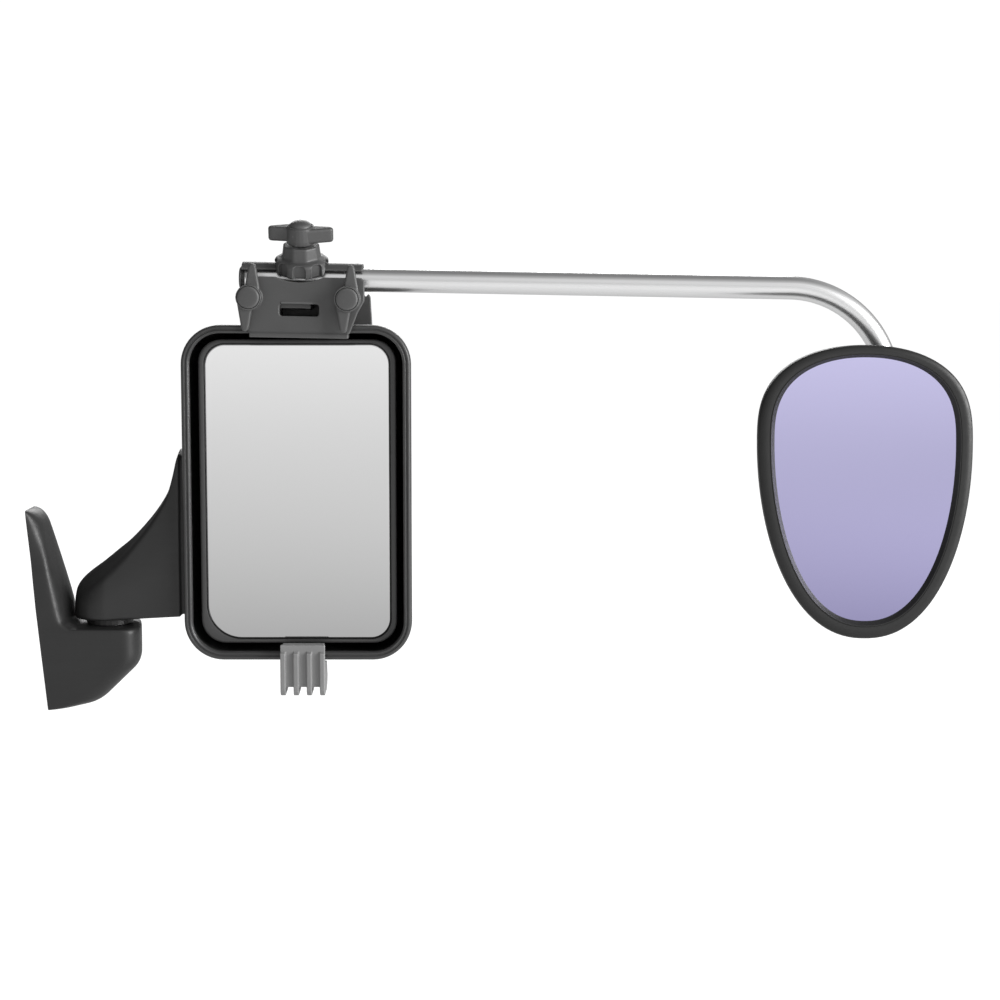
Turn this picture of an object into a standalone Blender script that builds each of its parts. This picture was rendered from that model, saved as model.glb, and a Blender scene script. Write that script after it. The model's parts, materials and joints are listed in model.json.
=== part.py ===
"""A van side mirror that carries a clamp-on towing mirror.

Frame: +X points outboard, +Y forward (away from the glass faces), +Z up. The origin is
the centre of the face that rests on the door. Everything is in metres.
"""

import math

import bmesh
import bpy
from mathutils import Matrix, Vector

MM = 0.001
GAP = 0.3 * MM

# Door base
DOOR_LEAN = math.radians(5.8)
BASE_HALF_DEPTH = 28 * MM
BASE_WALL = 3 * MM
GASKET = 2 * MM
BASE_TOP = -13 * MM
BLOCK_SIDE = 70 * MM
BLOCK_LOW = -71 * MM

# Fold pivot
PIVOT_X = 46.4 * MM
ARM_BOTTOM = -8.6 * MM
LOBE_RADIUS = 24.2 * MM
RING_RADIUS = 16.2 * MM
SHAFT_RADIUS = 6 * MM
SPRING_WIRE = 1.1 * MM

# Van mirror housing
HOUSING_WIDTH = 157.4 * MM
HOUSING_HEIGHT = 231.4 * MM
HOUSING_CENTRE = (181.2 * MM, 80.8 * MM)
HOUSING_CORNER = 27 * MM
HOUSING_WALL = 2.6 * MM
RIM_FRONT = -28 * MM
RIM_WIDTH = 5.6 * MM
RIM_DEPTH = 5.7 * MM

# Main glass
GLASS_CENTRE = (181.2 * MM, 80.95 * MM)
CARRIER_SIZE = (136 * MM, 211 * MM)
GLASS_SIZE = (127.5 * MM, 204.8 * MM)
CARRIER_FRONT = -18 * MM
GLASS_BALL_Y = 6 * MM
GLASS_BALL_RADIUS = 9 * MM

# Clamp, in its own frame: a along the tube, b forward, c up, from the tube's axis
CLAMP_ORIGIN = Vector((183.5 * MM, -14 * MM, 227.7 * MM))
CLAMP_TILT = math.radians(1.04)
TUBE_RADIUS = 8 * MM
TUBE_WALL = 1.5 * MM
SLEEVE_RADIUS = 11.2 * MM
SADDLE_LEFT, SADDLE_RIGHT = -39.4 * MM, 43.6 * MM
PLATE_LOW, PLATE_HIGH = -33 * MM, 36 * MM
PLATE_FRONT, PLATE_BACK = -21 * MM, -17 * MM
PLATE_TOP, PLATE_BOTTOM = 1.3 * MM, -36.4 * MM
EAR_A = 45.6 * MM
SCREW_A = 33.2 * MM
SCREW_MIDDLE = 1.3 * MM
SCREW_C = -12.9 * MM
SCREW_RADIUS = 2.5 * MM
JAW_FRONT, JAW_BACK = 62.5 * MM, 67 * MM
KNOB_LEAN = math.radians(20)
WING_TURN = 85
KNOB_A = 1.4 * MM

# Towing arm and head
BEND_START = 336.3 * MM
BEND_RADIUS = 70.6 * MM
TUBE_END = -125 * MM
SWIVEL_C = -112 * MM
BALL_OUT = 25 * MM
BALL_RADIUS = 6 * MM
HEAD_X = 565.8 * MM
HEAD_SKEW = 0.014
HEAD_HALF_WIDTH = 72.4 * MM
HEAD_TOP, HEAD_BOTTOM, HEAD_WIDEST = 184 * MM, -15 * MM, 117 * MM
HEAD_FRONT, HEAD_SHELL_FRONT, HEAD_BACK = -62 * MM, -55 * MM, -36 * MM
HEAD_WALL = 2.4 * MM

# Strap hook
HOOK_CENTRE = 184.8 * MM
HOOK_HALF = 15.3 * MM


def clear_scene():
    for obj in list(bpy.data.objects):
        bpy.data.objects.remove(obj)


def make_collection(name):
    group = bpy.data.collections.new(name)
    bpy.context.scene.collection.children.link(group)
    return group


clear_scene()
PARTS = make_collection("side_mirror")
GUIDES = make_collection("guides")


def paint(name, grey, roughness, metallic=0.0):
    """A plain material; grey is one value or a colour."""
    colour = grey if isinstance(grey, tuple) else (grey, grey, grey)
    material = bpy.data.materials.new(name)
    material.use_nodes = True
    shader = material.node_tree.nodes["Principled BSDF"]
    shader.inputs["Base Color"].default_value = (*colour, 1)
    shader.inputs["Roughness"].default_value = roughness
    shader.inputs["Metallic"].default_value = metallic
    return material


BLACK = paint("black_plastic", 0.035, 0.55)
RIM = paint("rim_plastic", 0.05, 0.45)
GREY = paint("grey_plastic", 0.11, 0.5)
HOOK = paint("hook_plastic", 0.19, 0.5)
RUBBER = paint("rubber", 0.02, 0.8)
STEEL = paint("zinc_steel", 0.6, 0.35, 1.0)
CAST = paint("cast_metal", 0.35, 0.5, 1.0)
TUBE = paint("anodised_aluminium", 0.78, 0.35, 1.0)
MIRROR = paint("mirror_glass", 0.75, 0.03, 1.0)
LILAC = paint("tinted_mirror_glass", (0.55, 0.53, 0.78), 0.03, 1.0)


class Body:
    """An empty on a joint's axis, and the frame in which its pieces are drawn."""

    def __init__(self, name, axis_point, frame, parent=None):
        self.frame = frame
        self.world = Matrix.Translation(frame @ Vector(axis_point))
        self.empty = bpy.data.objects.new(name, None)
        self.empty.empty_display_size = 0.02
        PARTS.objects.link(self.empty)
        if parent:
            self.empty.parent = parent.empty
            self.empty.matrix_parent_inverse = parent.world.inverted()
        self.empty.matrix_basis = self.world

    def take(self, obj):
        obj.parent = self.empty
        obj.matrix_parent_inverse = self.world.inverted()
        obj.matrix_basis = self.frame
        return obj


WORLD = Matrix.Identity(4)
CLAMP = Matrix.Translation(CLAMP_ORIGIN) @ Matrix.Rotation(CLAMP_TILT, 4, "Y")
KNOB = CLAMP @ Matrix.Translation((KNOB_A, 0, 0)) @ Matrix.Rotation(KNOB_LEAN, 4, "X")
SWIVEL_A = BEND_START + BEND_RADIUS
SWIVEL = CLAMP @ Matrix.Translation((SWIVEL_A, 0, SWIVEL_C))
BALL = SWIVEL @ Vector((0, -BALL_OUT, 0))
GLASS_BALL = Vector((GLASS_CENTRE[0], GLASS_BALL_Y, GLASS_CENTRE[1]))


def add(name, mesh, material, body):
    obj = bpy.data.objects.new(name, mesh)
    PARTS.objects.link(obj)
    if material:
        mesh.materials.append(material)
    return body.take(obj)


def from_bmesh(name, bm, material, body):
    bmesh.ops.recalc_face_normals(bm, faces=bm.faces)
    if bm.calc_volume(signed=True) < 0:
        bmesh.ops.reverse_faces(bm, faces=bm.faces)
    mesh = bpy.data.meshes.new(name)
    bm.to_mesh(mesh)
    bm.free()
    return add(name, mesh, material, body)


def as_guide(obj):
    PARTS.objects.unlink(obj)
    GUIDES.objects.link(obj)
    obj.hide_render = True
    obj.display_type = "WIRE"
    return obj


def combine(target, operation, others):
    for other in others:
        modifier = target.modifiers.new(operation.lower(), "BOOLEAN")
        modifier.operation = operation
        modifier.object = as_guide(other)
    return target


def cut(target, *others):
    return combine(target, "DIFFERENCE", others)


def join(target, *others):
    return combine(target, "UNION", others)


def bevel(obj, width, segments=2, angle=40):
    modifier = obj.modifiers.new("bevel", "BEVEL")
    modifier.width = width
    modifier.segments = segments
    modifier.limit_method = "ANGLE"
    modifier.angle_limit = math.radians(angle)
    return obj


def axis_matrix(axis):
    """Turns +Z onto the named axis."""
    if axis == "X":
        return Matrix.Rotation(math.radians(90), 4, "Y")
    if axis == "Y":
        return Matrix.Rotation(math.radians(-90), 4, "X")
    return Matrix.Identity(4)


def cylinder(name, radius, centre, length, axis, material, body, sides=24):
    bm = bmesh.new()
    bmesh.ops.create_cone(
        bm, cap_ends=True, segments=sides, radius1=radius, radius2=radius, depth=length,
    )
    bm.transform(Matrix.Translation(centre) @ axis_matrix(axis))
    return from_bmesh(name, bm, material, body)


def block(name, low, high, material, body):
    bm = bmesh.new()
    bmesh.ops.create_cube(bm, size=1)
    size = Vector(high) - Vector(low)
    middle = (Vector(high) + Vector(low)) / 2
    bm.transform(Matrix.Translation(middle) @ Matrix.Diagonal((*size, 1)))
    return from_bmesh(name, bm, material, body)


def ball(name, radius, centre, material, body, sides=16):
    bm = bmesh.new()
    bmesh.ops.create_uvsphere(bm, u_segments=sides, v_segments=sides // 2, radius=radius)
    bm.transform(Matrix.Translation(centre) @ axis_matrix("Y"))
    return from_bmesh(name, bm, material, body)


def turned(name, profile, material, body, where=None, steps=24, closed=False):
    """A profile of (radius, height) points, top to bottom on its outer side, turned about Z."""
    mesh = bpy.data.meshes.new(name)
    count = len(profile)
    edges = [(i, i + 1) for i in range(count - 1)]
    if closed:
        edges.append((count - 1, 0))
    place = where or Matrix.Identity(4)
    mesh.from_pydata([(r, 0, z) for r, z in profile], edges, [])
    obj = add(name, mesh, material, body)
    obj.matrix_basis = body.frame @ place
    screw = obj.modifiers.new("screw", "SCREW")
    screw.steps = screw.render_steps = steps
    screw.use_merge_vertices = True
    screw.merge_threshold = 0.00001
    screw.use_smooth_shade = True
    return obj


def prism(name, loops, low, high, axis, material, body):
    """A flat outline with any holes, as thick as low to high along an axis.

    Loops are (x, z) points for axis Y, (y, z) for axis X and (x, y) for axis Z.
    """
    curve = bpy.data.curves.new(name, "CURVE")
    curve.dimensions = "2D"
    curve.fill_mode = "BOTH"
    curve.extrude = (high - low) / 2
    for loop in loops:
        spline = curve.splines.new("POLY")
        spline.points.add(len(loop) - 1)
        for point, (u, v) in zip(spline.points, loop):
            point.co = (u, v, 0, 1)
        spline.use_cyclic_u = True
    middle = (high + low) / 2
    if axis == "Y":
        turn = Matrix(((1, 0, 0, 0), (0, 0, 1, middle), (0, 1, 0, 0), (0, 0, 0, 1)))
    elif axis == "X":
        turn = Matrix(((0, 0, 1, middle), (1, 0, 0, 0), (0, 1, 0, 0), (0, 0, 0, 1)))
    else:
        turn = Matrix.Translation((0, 0, middle))
    return from_bmesh(name, solid_of(curve, turn), material, body)


def solid_of(curve, turn=Matrix.Identity(4)):
    """The welded mesh of a curve."""
    holder = bpy.data.objects.new("holder", curve)
    GUIDES.objects.link(holder)
    graph = bpy.context.evaluated_depsgraph_get()
    mesh = bpy.data.meshes.new_from_object(holder.evaluated_get(graph))
    bm = bmesh.new()
    bm.from_mesh(mesh)
    bmesh.ops.remove_doubles(bm, verts=bm.verts, dist=0.000005)
    bmesh.ops.dissolve_limit(bm, angle_limit=math.radians(0.5), verts=bm.verts, edges=bm.edges)
    bm.transform(turn)
    bpy.data.objects.remove(holder)
    bpy.data.meshes.remove(mesh)
    return bm


def pipe(points, radius, resolution, caps):
    """A welded pipe along points; resolution sets its sides."""
    curve = bpy.data.curves.new("path", "CURVE")
    curve.dimensions = "3D"
    curve.bevel_depth = radius
    curve.bevel_resolution = resolution
    curve.use_fill_caps = caps
    spline = curve.splines.new("POLY")
    spline.points.add(len(points) - 1)
    for point, place in zip(spline.points, points):
        point.co = (*place, 1)
    return solid_of(curve)


def loft(name, rings, material, body):
    """Rings of equally many points, joined in order, with flat ends."""
    bm = bmesh.new()
    rows = [[bm.verts.new(p) for p in ring] for ring in rings]
    count = len(rows[0])
    for one, two in zip(rows, rows[1:]):
        for i in range(count):
            j = (i + 1) % count
            bm.faces.new((one[i], one[j], two[j], two[i]))
    bm.faces.new(rows[0])
    bm.faces.new(rows[-1])
    return from_bmesh(name, bm, material, body)


def arc(centre, radius, start, end, count):
    """Points on an arc, angles in degrees."""
    points = []
    for i in range(count + 1):
        angle = math.radians(start + (end - start) * i / count)
        points.append((centre[0] + radius * math.cos(angle), centre[1] + radius * math.sin(angle)))
    return points


def rounded(centre, size, radius, count=6):
    """A rectangle with round corners; radius is one value or four, from the top right round."""
    radii = radius if isinstance(radius, tuple) else (radius,) * 4
    half_w, half_h = size[0] / 2, size[1] / 2
    points = []
    for i, (sx, sz) in enumerate(((1, 1), (-1, 1), (-1, -1), (1, -1))):
        corner = (centre[0] + sx * (half_w - radii[i]), centre[1] + sz * (half_h - radii[i]))
        points += arc(corner, radii[i], 90 * i, 90 * i + 90, count)
    return points


def egg(inset, count=40, width=HEAD_HALF_WIDTH, top=HEAD_TOP, bottom=HEAD_BOTTOM):
    """The towing head's outline: blunt at the top, narrower below."""
    points = []
    for i in range(count):
        angle = 2 * math.pi * (i + 0.5) / count
        cosine, sine = math.cos(angle), math.sin(angle)
        if sine > 0:
            height, power, side_power = top - HEAD_WIDEST - inset, 2.9, 2.15
        else:
            height, power, side_power = HEAD_WIDEST - bottom - inset, 2.0, 2.25
        x = (width - inset) * math.copysign(abs(cosine) ** (2 / side_power), cosine)
        z = height * math.copysign(abs(sine) ** (2 / power), sine)
        points.append((HEAD_X + x - HEAD_SKEW * z, HEAD_WIDEST + z))
    return points


def at_y(points, y):
    return [(u, y, v) for u, v in points]


# Bodies, each on its joint's axis

door_base = Body("door_base", (0, 0, 0), WORLD)
mirror_arm = Body("mirror_arm", (PIVOT_X, 0, ARM_BOTTOM), WORLD, door_base)
glass_pivot = Body("glass_pivot", GLASS_BALL, WORLD, mirror_arm)
glass_holder = Body("glass_holder", GLASS_BALL, WORLD, glass_pivot)
towing_clamp = Body("towing_clamp", (0, 0, 0), CLAMP, mirror_arm)
rear_jaw_body = Body("rear_jaw_body", (0, JAW_FRONT, SCREW_C), CLAMP, towing_clamp)
left_screw = Body("left_wing_screw", (SCREW_MIDDLE - SCREW_A, 0, SCREW_C), CLAMP, towing_clamp)
right_screw = Body("right_wing_screw", (SCREW_MIDDLE + SCREW_A, 0, SCREW_C), CLAMP, towing_clamp)
knob_body = Body("knob_body", (0, 0, 0), KNOB, towing_clamp)
pad_body = Body("pad_body", (0, 0, 0), KNOB, towing_clamp)
sleeve_body = Body("sleeve_body", (0, 0, 0), CLAMP, towing_clamp)
tube_body = Body("tube_body", (0, 0, 0), CLAMP, sleeve_body)
swivel_body = Body("head_swivel", (0, 0, 0), SWIVEL, tube_body)
cup_body = Body("head_cup_body", BALL, WORLD, swivel_body)
head_body = Body("towing_head", BALL, WORLD, cup_body)
hook_body = Body("strap_hook_body", (HOOK_CENTRE, -30 * MM, -45 * MM), WORLD, towing_clamp)


# Door base

def door_x(z):
    """X of the leaning door plane at a height."""
    return -math.tan(DOOR_LEAN) * z


def base_block(name, inset, material):
    """The lower block: outlines seen from the front, drawn in at its rounded front and back."""
    plan = (
        (-1, 10.5), (-0.95, 6), (-0.79, 1.8), (-0.54, 0), (0, 1.4), (0.5, 3.8), (0.86, 6), (1, 9),
    )
    high = BASE_TOP - inset
    low = BLOCK_LOW + inset
    outside = -30 * MM if inset else -5 * MM
    diagonal = 0.7 * inset
    rings = []
    for share, drawn_in in plan:
        drawn_in *= MM
        side = BLOCK_SIDE - inset - drawn_in
        slope_x, slope_z = -0.8 * drawn_in - diagonal, 0.45 * drawn_in + diagonal
        outline = [
            (door_x(high) + outside, high),
            (side - 3 * MM, high),
            (side, high - 3 * MM),
            (side, -36 * MM),
            (side - 2.5 * MM, -40.5 * MM + diagonal),
            (43.2 * MM + slope_x, -64 * MM + slope_z),
            (37 * MM + slope_x, -67 * MM + slope_z),
            (16 * MM, low + 0.25 * drawn_in),
            (door_x(low) + outside, low),
        ]
        rings.append(at_y(outline, share * (BASE_HALF_DEPTH - inset)))
    return loft(name, rings, material, door_base)


def fin_half(door, back, reach, ridge, edge, depth):
    """One half of the fin's section: the edge at the door, the ridge and the narrow nose."""
    return [
        (door + back, edge),
        (door + 0.2 * reach, edge),
        (door + ridge * reach, depth),
        (door + 0.95 * reach, depth * 0.38),
        (door + reach, depth * 0.14),
    ]


def base_fin(name, inset, material):
    """The upright fin; it thins towards its top, and more so at the rear than in front."""
    levels = (
        (-30 * MM, 26 * MM, 0.76, 0.995, 0.995),
        (BASE_TOP, 23 * MM, 0.76, 0.995, 0.995),
        (ARM_BOTTOM, 21.4 * MM, 0.74, 0.99, 0.99),
        (6 * MM, 20 * MM, 0.69, 0.95, 0.95),
        (32 * MM, 12.8 * MM, 0.69, 0.84, 0.83),
        (56 * MM, 5.8 * MM, 0.8, 0.62, 0.52),
        (62 * MM, 3.4 * MM, 0.85, 0.56, 0.42),
        (66.4 * MM, -0.4 * MM, 0.87, 0.48, 0.34),
        (68.6 * MM, -4.4 * MM, 0.87, 0.42, 0.28),
    )
    rings = []
    for z, nose, ridge, front, rear in levels:
        door = door_x(z)
        reach = nose - door - inset
        back = -32 * MM if inset else -7 * MM
        front_edge, rear_edge = max(min(front + 0.04, 0.995), 0.88), min(rear + 0.05, 0.995)
        halves = [
            fin_half(door, back, reach, ridge, BASE_HALF_DEPTH * edge - inset, BASE_HALF_DEPTH * depth - inset)
            for edge, depth in ((front_edge, front), (rear_edge, rear))
        ]
        ring = [(x, -y, z - inset) for x, y in halves[0]]
        ring += [(x, y, z - inset) for x, y in reversed(halves[1])]
        rings.append(ring)
    return loft(name, rings, material, door_base)


def build_base():
    cover = base_block("base_cover", 0, BLACK)
    join(cover, base_fin("fin_outside", 0, None))
    door_side = block("door_side", (-0.12, -0.05, -0.04), (0.12, 0.05, 0), None, door_base)
    door_side.matrix_basis = DOOR
    cut(
        cover,
        base_block("block_inside", BASE_WALL, None),
        base_fin("fin_inside", BASE_WALL, None),
        cylinder("pivot_hole", 13 * MM, (PIVOT_X, 0, BASE_TOP), 12 * MM, "Z", None, door_base),
        door_side,
    )


def door_frame():
    """A frame on the door plane: x up the door, y back towards the glass side, z into the base."""
    up = Vector((-math.sin(DOOR_LEAN), 0, math.cos(DOOR_LEAN)))
    inward = Vector((math.cos(DOOR_LEAN), 0, math.sin(DOOR_LEAN)))
    side = Vector((0, -1, 0))
    return Matrix((
        (up.x, side.x, inward.x, 0),
        (up.y, side.y, inward.y, 0),
        (up.z, side.z, inward.z, 0),
        (0, 0, 0, 1),
    ))


DOOR = door_frame()
DOOR_SCREWS = ((-54 * MM, 0), (-40 * MM, -15 * MM), (18 * MM, 8 * MM))


def door_prism(name, outline, low, high, material):
    """A plate parallel to the door; the outline is (up the door, back)."""
    plate = prism(name, outline, low, high, "Z", material, door_base)
    plate.matrix_basis = DOOR
    return plate


def build_bracket():
    """The gasket against the door, the metal bracket inside the cover, and the detent ring on top."""
    foot, brow, tip = -65 * MM, 40 * MM, 60 * MM
    front = [(foot, 24 * MM), (-6 * MM, 24 * MM), (10 * MM, 23.2 * MM), (brow, 20.6 * MM), (tip, 15 * MM)]
    rear = [(foot, 24 * MM), (-6 * MM, 24 * MM), (10 * MM, 23.2 * MM), (brow, 16.6 * MM), (tip, 8.6 * MM)]
    outline = [(u, -v) for u, v in rear] + list(reversed(front))
    holes = [arc(place, 3.6 * MM, 0, 345, 23) for place in DOOR_SCREWS]
    door_prism("door_gasket", [outline] + holes, 0, GASKET, RUBBER)

    half_width, low, high = 20 * MM, -62 * MM, 28 * MM
    plate_outline = [(low, -half_width), (high, -half_width), (high, half_width), (low, half_width)]
    bracket = door_prism("base_bracket", [plate_outline], GASKET + GAP, 6.6 * MM, CAST)
    web_low, web_high = (5 * MM, -9 * MM, -29.5 * MM), (PIVOT_X - 4 * MM, 9 * MM, -17.5 * MM)
    web = block("bracket_web", web_low, web_high, None, door_base)
    pivot = (PIVOT_X, 0, -21.5 * MM)
    boss = cylinder("bracket_boss", 12.4 * MM, pivot, 17 * MM, "Z", None, door_base)
    bore = cylinder("bracket_bore", SHAFT_RADIUS + GAP, pivot, 40 * MM, "Z", None, door_base)
    screw_holes = []
    for i, place in enumerate(DOOR_SCREWS):
        name = f"screw_hole_{i}"
        hole = cylinder(name, 2.8 * MM, (*place, 6 * MM), 12 * MM, "Z", None, door_base, sides=20)
        hole.matrix_basis = DOOR
        screw_holes.append(hole)
    join(bracket, web, boss)
    cut(bracket, bore, *screw_holes)
    low, high = BASE_TOP + GAP, ARM_BOTTOM - GAP
    ring = [(RING_RADIUS, high), (RING_RADIUS, low), (SHAFT_RADIUS + GAP, low), (SHAFT_RADIUS + GAP, high)]
    turned("detent_ring", ring, BLACK, door_base, Matrix.Translation((PIVOT_X, 0, 0)), closed=True)


def screw_profile(head, head_height, shank, length):
    """A screw that hangs from its head, head top at zero."""
    return [
        (0, 0), (head, -0.2 * head_height), (head, -head_height),
        (shank, -head_height), (shank, -length), (0, -length),
    ]


def build_door_screws():
    shape = screw_profile(3.2 * MM, 1.6 * MM, 2.4 * MM, 9 * MM)
    for name, place in zip(("door_screw_lower", "door_screw_middle", "door_screw_upper"), DOOR_SCREWS):
        turn = Matrix.Translation((*place, 0.4 * MM)) @ Matrix.Rotation(math.pi, 4, "X")
        screw = turned(name, shape, STEEL, door_base, steps=12)
        screw.matrix_basis = DOOR @ turn


# Folding arm and housing

def arm_ring(x, top, shoulder, front, back, low):
    """One upright section of the arm, with a bevel from its front face to its top."""
    height = top - low
    return [
        (x, -front, low + 2 * MM),
        (x, -front + 2 * MM, low),
        (x, back - 2 * MM, low),
        (x, back, low + 2 * MM),
        (x, back, low + 0.8 * height),
        (x, 0.6 * back, top - 0.05 * height),
        (x, 0.12 * front, top),
        (x, -0.4 * front, top - 0.3 * (top - shoulder)),
        (x, -0.86 * front, shoulder),
        (x, -front, shoulder - 3 * MM),
    ]


def arm_rings():
    """Sections by their distance from the pivot, with the heights of the top and the shoulder."""
    shape = (
        (-24, 6, 0), (-22, 13, 4), (-18, 18.5, 8), (-11.6, 24.5, 13), (-2.4, 31.5, 20),
        (7.2, 39.5, 30), (17.6, 47.7, 42), (29.5, 60.7, 56.5), (38.4, 72.5, 70),
        (44.2, 83, 80.5), (47.9, 95.7, 93), (50.6, 108, 104), (58.6, 111, 107),
    )
    rings = []
    for away, top, shoulder in shape:
        away *= MM
        if away < 0:
            depth = math.sqrt(LOBE_RADIUS ** 2 - away ** 2)
            front, back, low = depth, depth, ARM_BOTTOM
        else:
            share = away / (55 * MM)
            front = LOBE_RADIUS - 2.4 * MM * share
            back = LOBE_RADIUS - 4.5 * MM * share
            low = ARM_BOTTOM + 2.1 * MM * share
        rings.append(arm_ring(PIVOT_X + away, top * MM, shoulder * MM, front, back, low))
    return rings


def housing_ring(inset, y, wall=0.0):
    size = (HOUSING_WIDTH - 2 * inset - 2 * wall, HOUSING_HEIGHT - 2 * inset - 2 * wall)
    corner = max(HOUSING_CORNER - wall - inset * 0.2, 6 * MM)
    return at_y(rounded(HOUSING_CENTRE, size, corner), y)


HOUSING_STEPS = ((0, -22), (1.2, -6), (3, 10), (6, 22), (11, 31), (20, 39), (34, 44), (42, 45))


def build_housing():
    outside = [housing_ring(inset * MM, y * MM) for inset, y in HOUSING_STEPS]
    inside = [housing_ring(0, -30 * MM, HOUSING_WALL)] + [
        housing_ring(inset * MM, (y - 2.8) * MM if y > 30 else y * MM, HOUSING_WALL)
        for inset, y in HOUSING_STEPS
    ]
    housing = loft("arm_housing", outside, BLACK, mirror_arm)
    join(housing, loft("arm_outside", arm_rings(), None, mirror_arm))
    cut(
        housing,
        loft("housing_inside", inside, None, mirror_arm),
        cylinder("shaft_hole", SHAFT_RADIUS + GAP, (PIVOT_X, 0, -4 * MM), 24 * MM, "Z", None, mirror_arm),
    )
    outer = rounded(HOUSING_CENTRE, (HOUSING_WIDTH, HOUSING_HEIGHT), HOUSING_CORNER, 8)
    inner_size = (HOUSING_WIDTH - 2 * RIM_WIDTH, HOUSING_HEIGHT - 2 * RIM_WIDTH)
    inner = rounded(HOUSING_CENTRE, inner_size, HOUSING_CORNER - RIM_WIDTH, 8)
    rim = prism("rim_bezel", [outer, inner], RIM_FRONT, RIM_FRONT + RIM_DEPTH, "Y", RIM, mirror_arm)
    bevel(rim, 0.8 * MM, 1)
    return housing


def ring_profile(outer, inner, low, high):
    return [(outer, high), (outer, low), (inner, low), (inner, high)]


def coil(radius, wire, low, high, turns, per_turn=12):
    points = []
    count = round(turns * per_turn)
    for i in range(count + 1):
        angle = 2 * math.pi * i / per_turn
        z = low + wire + (high - low - 2 * wire) * i / count
        points.append((PIVOT_X + radius * math.cos(angle), radius * math.sin(angle), z))
    return points


def hex_nut(name, radius, bore, centre, height, axis, body):
    nut = cylinder(name, radius, centre, height, axis, STEEL, body, sides=6)
    return cut(nut, cylinder(f"{name}_bore", bore, centre, 3 * height, axis, None, body))


def build_pivot():
    """The steel shaft under the arm, with the spring that holds the arm down on its detent ring."""
    at_pivot = Matrix.Translation((PIVOT_X, 0, 0))
    top, end = 7 * MM, -47 * MM
    shaft = [(0, top), (SHAFT_RADIUS, top), (SHAFT_RADIUS, end), (0, end)]
    turned("pivot_shaft", shaft, STEEL, mirror_arm, at_pivot)
    bore = SHAFT_RADIUS + GAP
    washers = (("upper", 10.5 * MM, -31.8 * MM, -30.3 * MM), ("lower", 9 * MM, -42.4 * MM, -41.2 * MM))
    for word, radius, low, high in washers:
        profile = ring_profile(radius, bore, low, high)
        turned(f"spring_washer_{word}", profile, STEEL, mirror_arm, at_pivot, closed=True)
    hex_nut("pivot_nut", 7.6 * MM, bore, (PIVOT_X, 0, -44.6 * MM), 3.8 * MM, "Z", mirror_arm)
    spring = pipe(coil(8.3 * MM, SPRING_WIRE, -41 * MM, -32 * MM, 2.5), SPRING_WIRE, 1, True)
    from_bmesh("pivot_spring", spring, STEEL, mirror_arm)


# Main glass

def build_glass_mount(housing):
    """A metal bracket screwed to the inside of the housing's back, with the glass's ball stud on it."""
    front, back, reach = 32 * MM, 35.9 * MM, 31.7 * MM
    low = GLASS_BALL + Vector((-34 * MM, front, -28 * MM))
    high = GLASS_BALL + Vector((34 * MM, back, 28 * MM))
    bracket = bevel(block("glass_bracket", low, high, CAST, mirror_arm), 2 * MM, 2)
    head_height = 2.2 * MM
    shape = screw_profile(4 * MM, head_height, 1.9 * MM, 8.6 * MM)
    hole_radius = 2.2 * MM
    for i, (x, z) in enumerate(((-24 * MM, 18 * MM), (24 * MM, 18 * MM), (0, -20 * MM)), 1):
        head = GLASS_BALL + Vector((x, front - 0.4 * MM - head_height, z))
        turn = Matrix.Translation(head) @ axis_matrix("Y") @ Matrix.Rotation(math.pi, 4, "X")
        turned(f"bracket_screw_{i}", shape, STEEL, mirror_arm, turn, steps=12)
        centre = GLASS_BALL + Vector((x, front, z))
        through, blind = 24 * MM, 12.6 * MM
        for target, name, length in ((bracket, "bracket_hole", through), (housing, "housing_hole", blind)):
            cut(target, cylinder(f"{name}_{i}", hole_radius, centre, length, "Y", None, mirror_arm, sides=12))
    stud = ball("ball_stud", GLASS_BALL_RADIUS, GLASS_BALL, STEEL, mirror_arm)
    neck = GLASS_BALL + Vector((0, (reach + 5 * MM) / 2, 0))
    foot = GLASS_BALL + Vector((0, reach - 1.5 * MM, 0))
    join(
        stud,
        cylinder("stud_neck", 4.5 * MM, neck, reach - 5 * MM, "Y", None, mirror_arm),
        cylinder("stud_foot", 10 * MM, foot, 3 * MM, "Y", None, mirror_arm),
    )


def socket_profile(inner, outer, opening, count=6):
    """A spherical cup about the origin, open towards -Z: outer side down, inner side up."""
    stop = 180 - opening
    outside = [(outer * math.sin(math.radians(a)), outer * math.cos(math.radians(a)))
               for a in [stop * i / count for i in range(count + 1)]]
    inside = [(inner * math.sin(math.radians(a)), inner * math.cos(math.radians(a)))
              for a in [stop * (count - i) / count for i in range(count + 1)]]
    outside[0] = (0, outer)
    inside[-1] = (0, inner)
    return outside + inside


def facing_viewer(centre):
    """Puts a cup's closed end towards -Y."""
    return Matrix.Translation(centre) @ Matrix.Rotation(math.radians(90), 4, "X")


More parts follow.
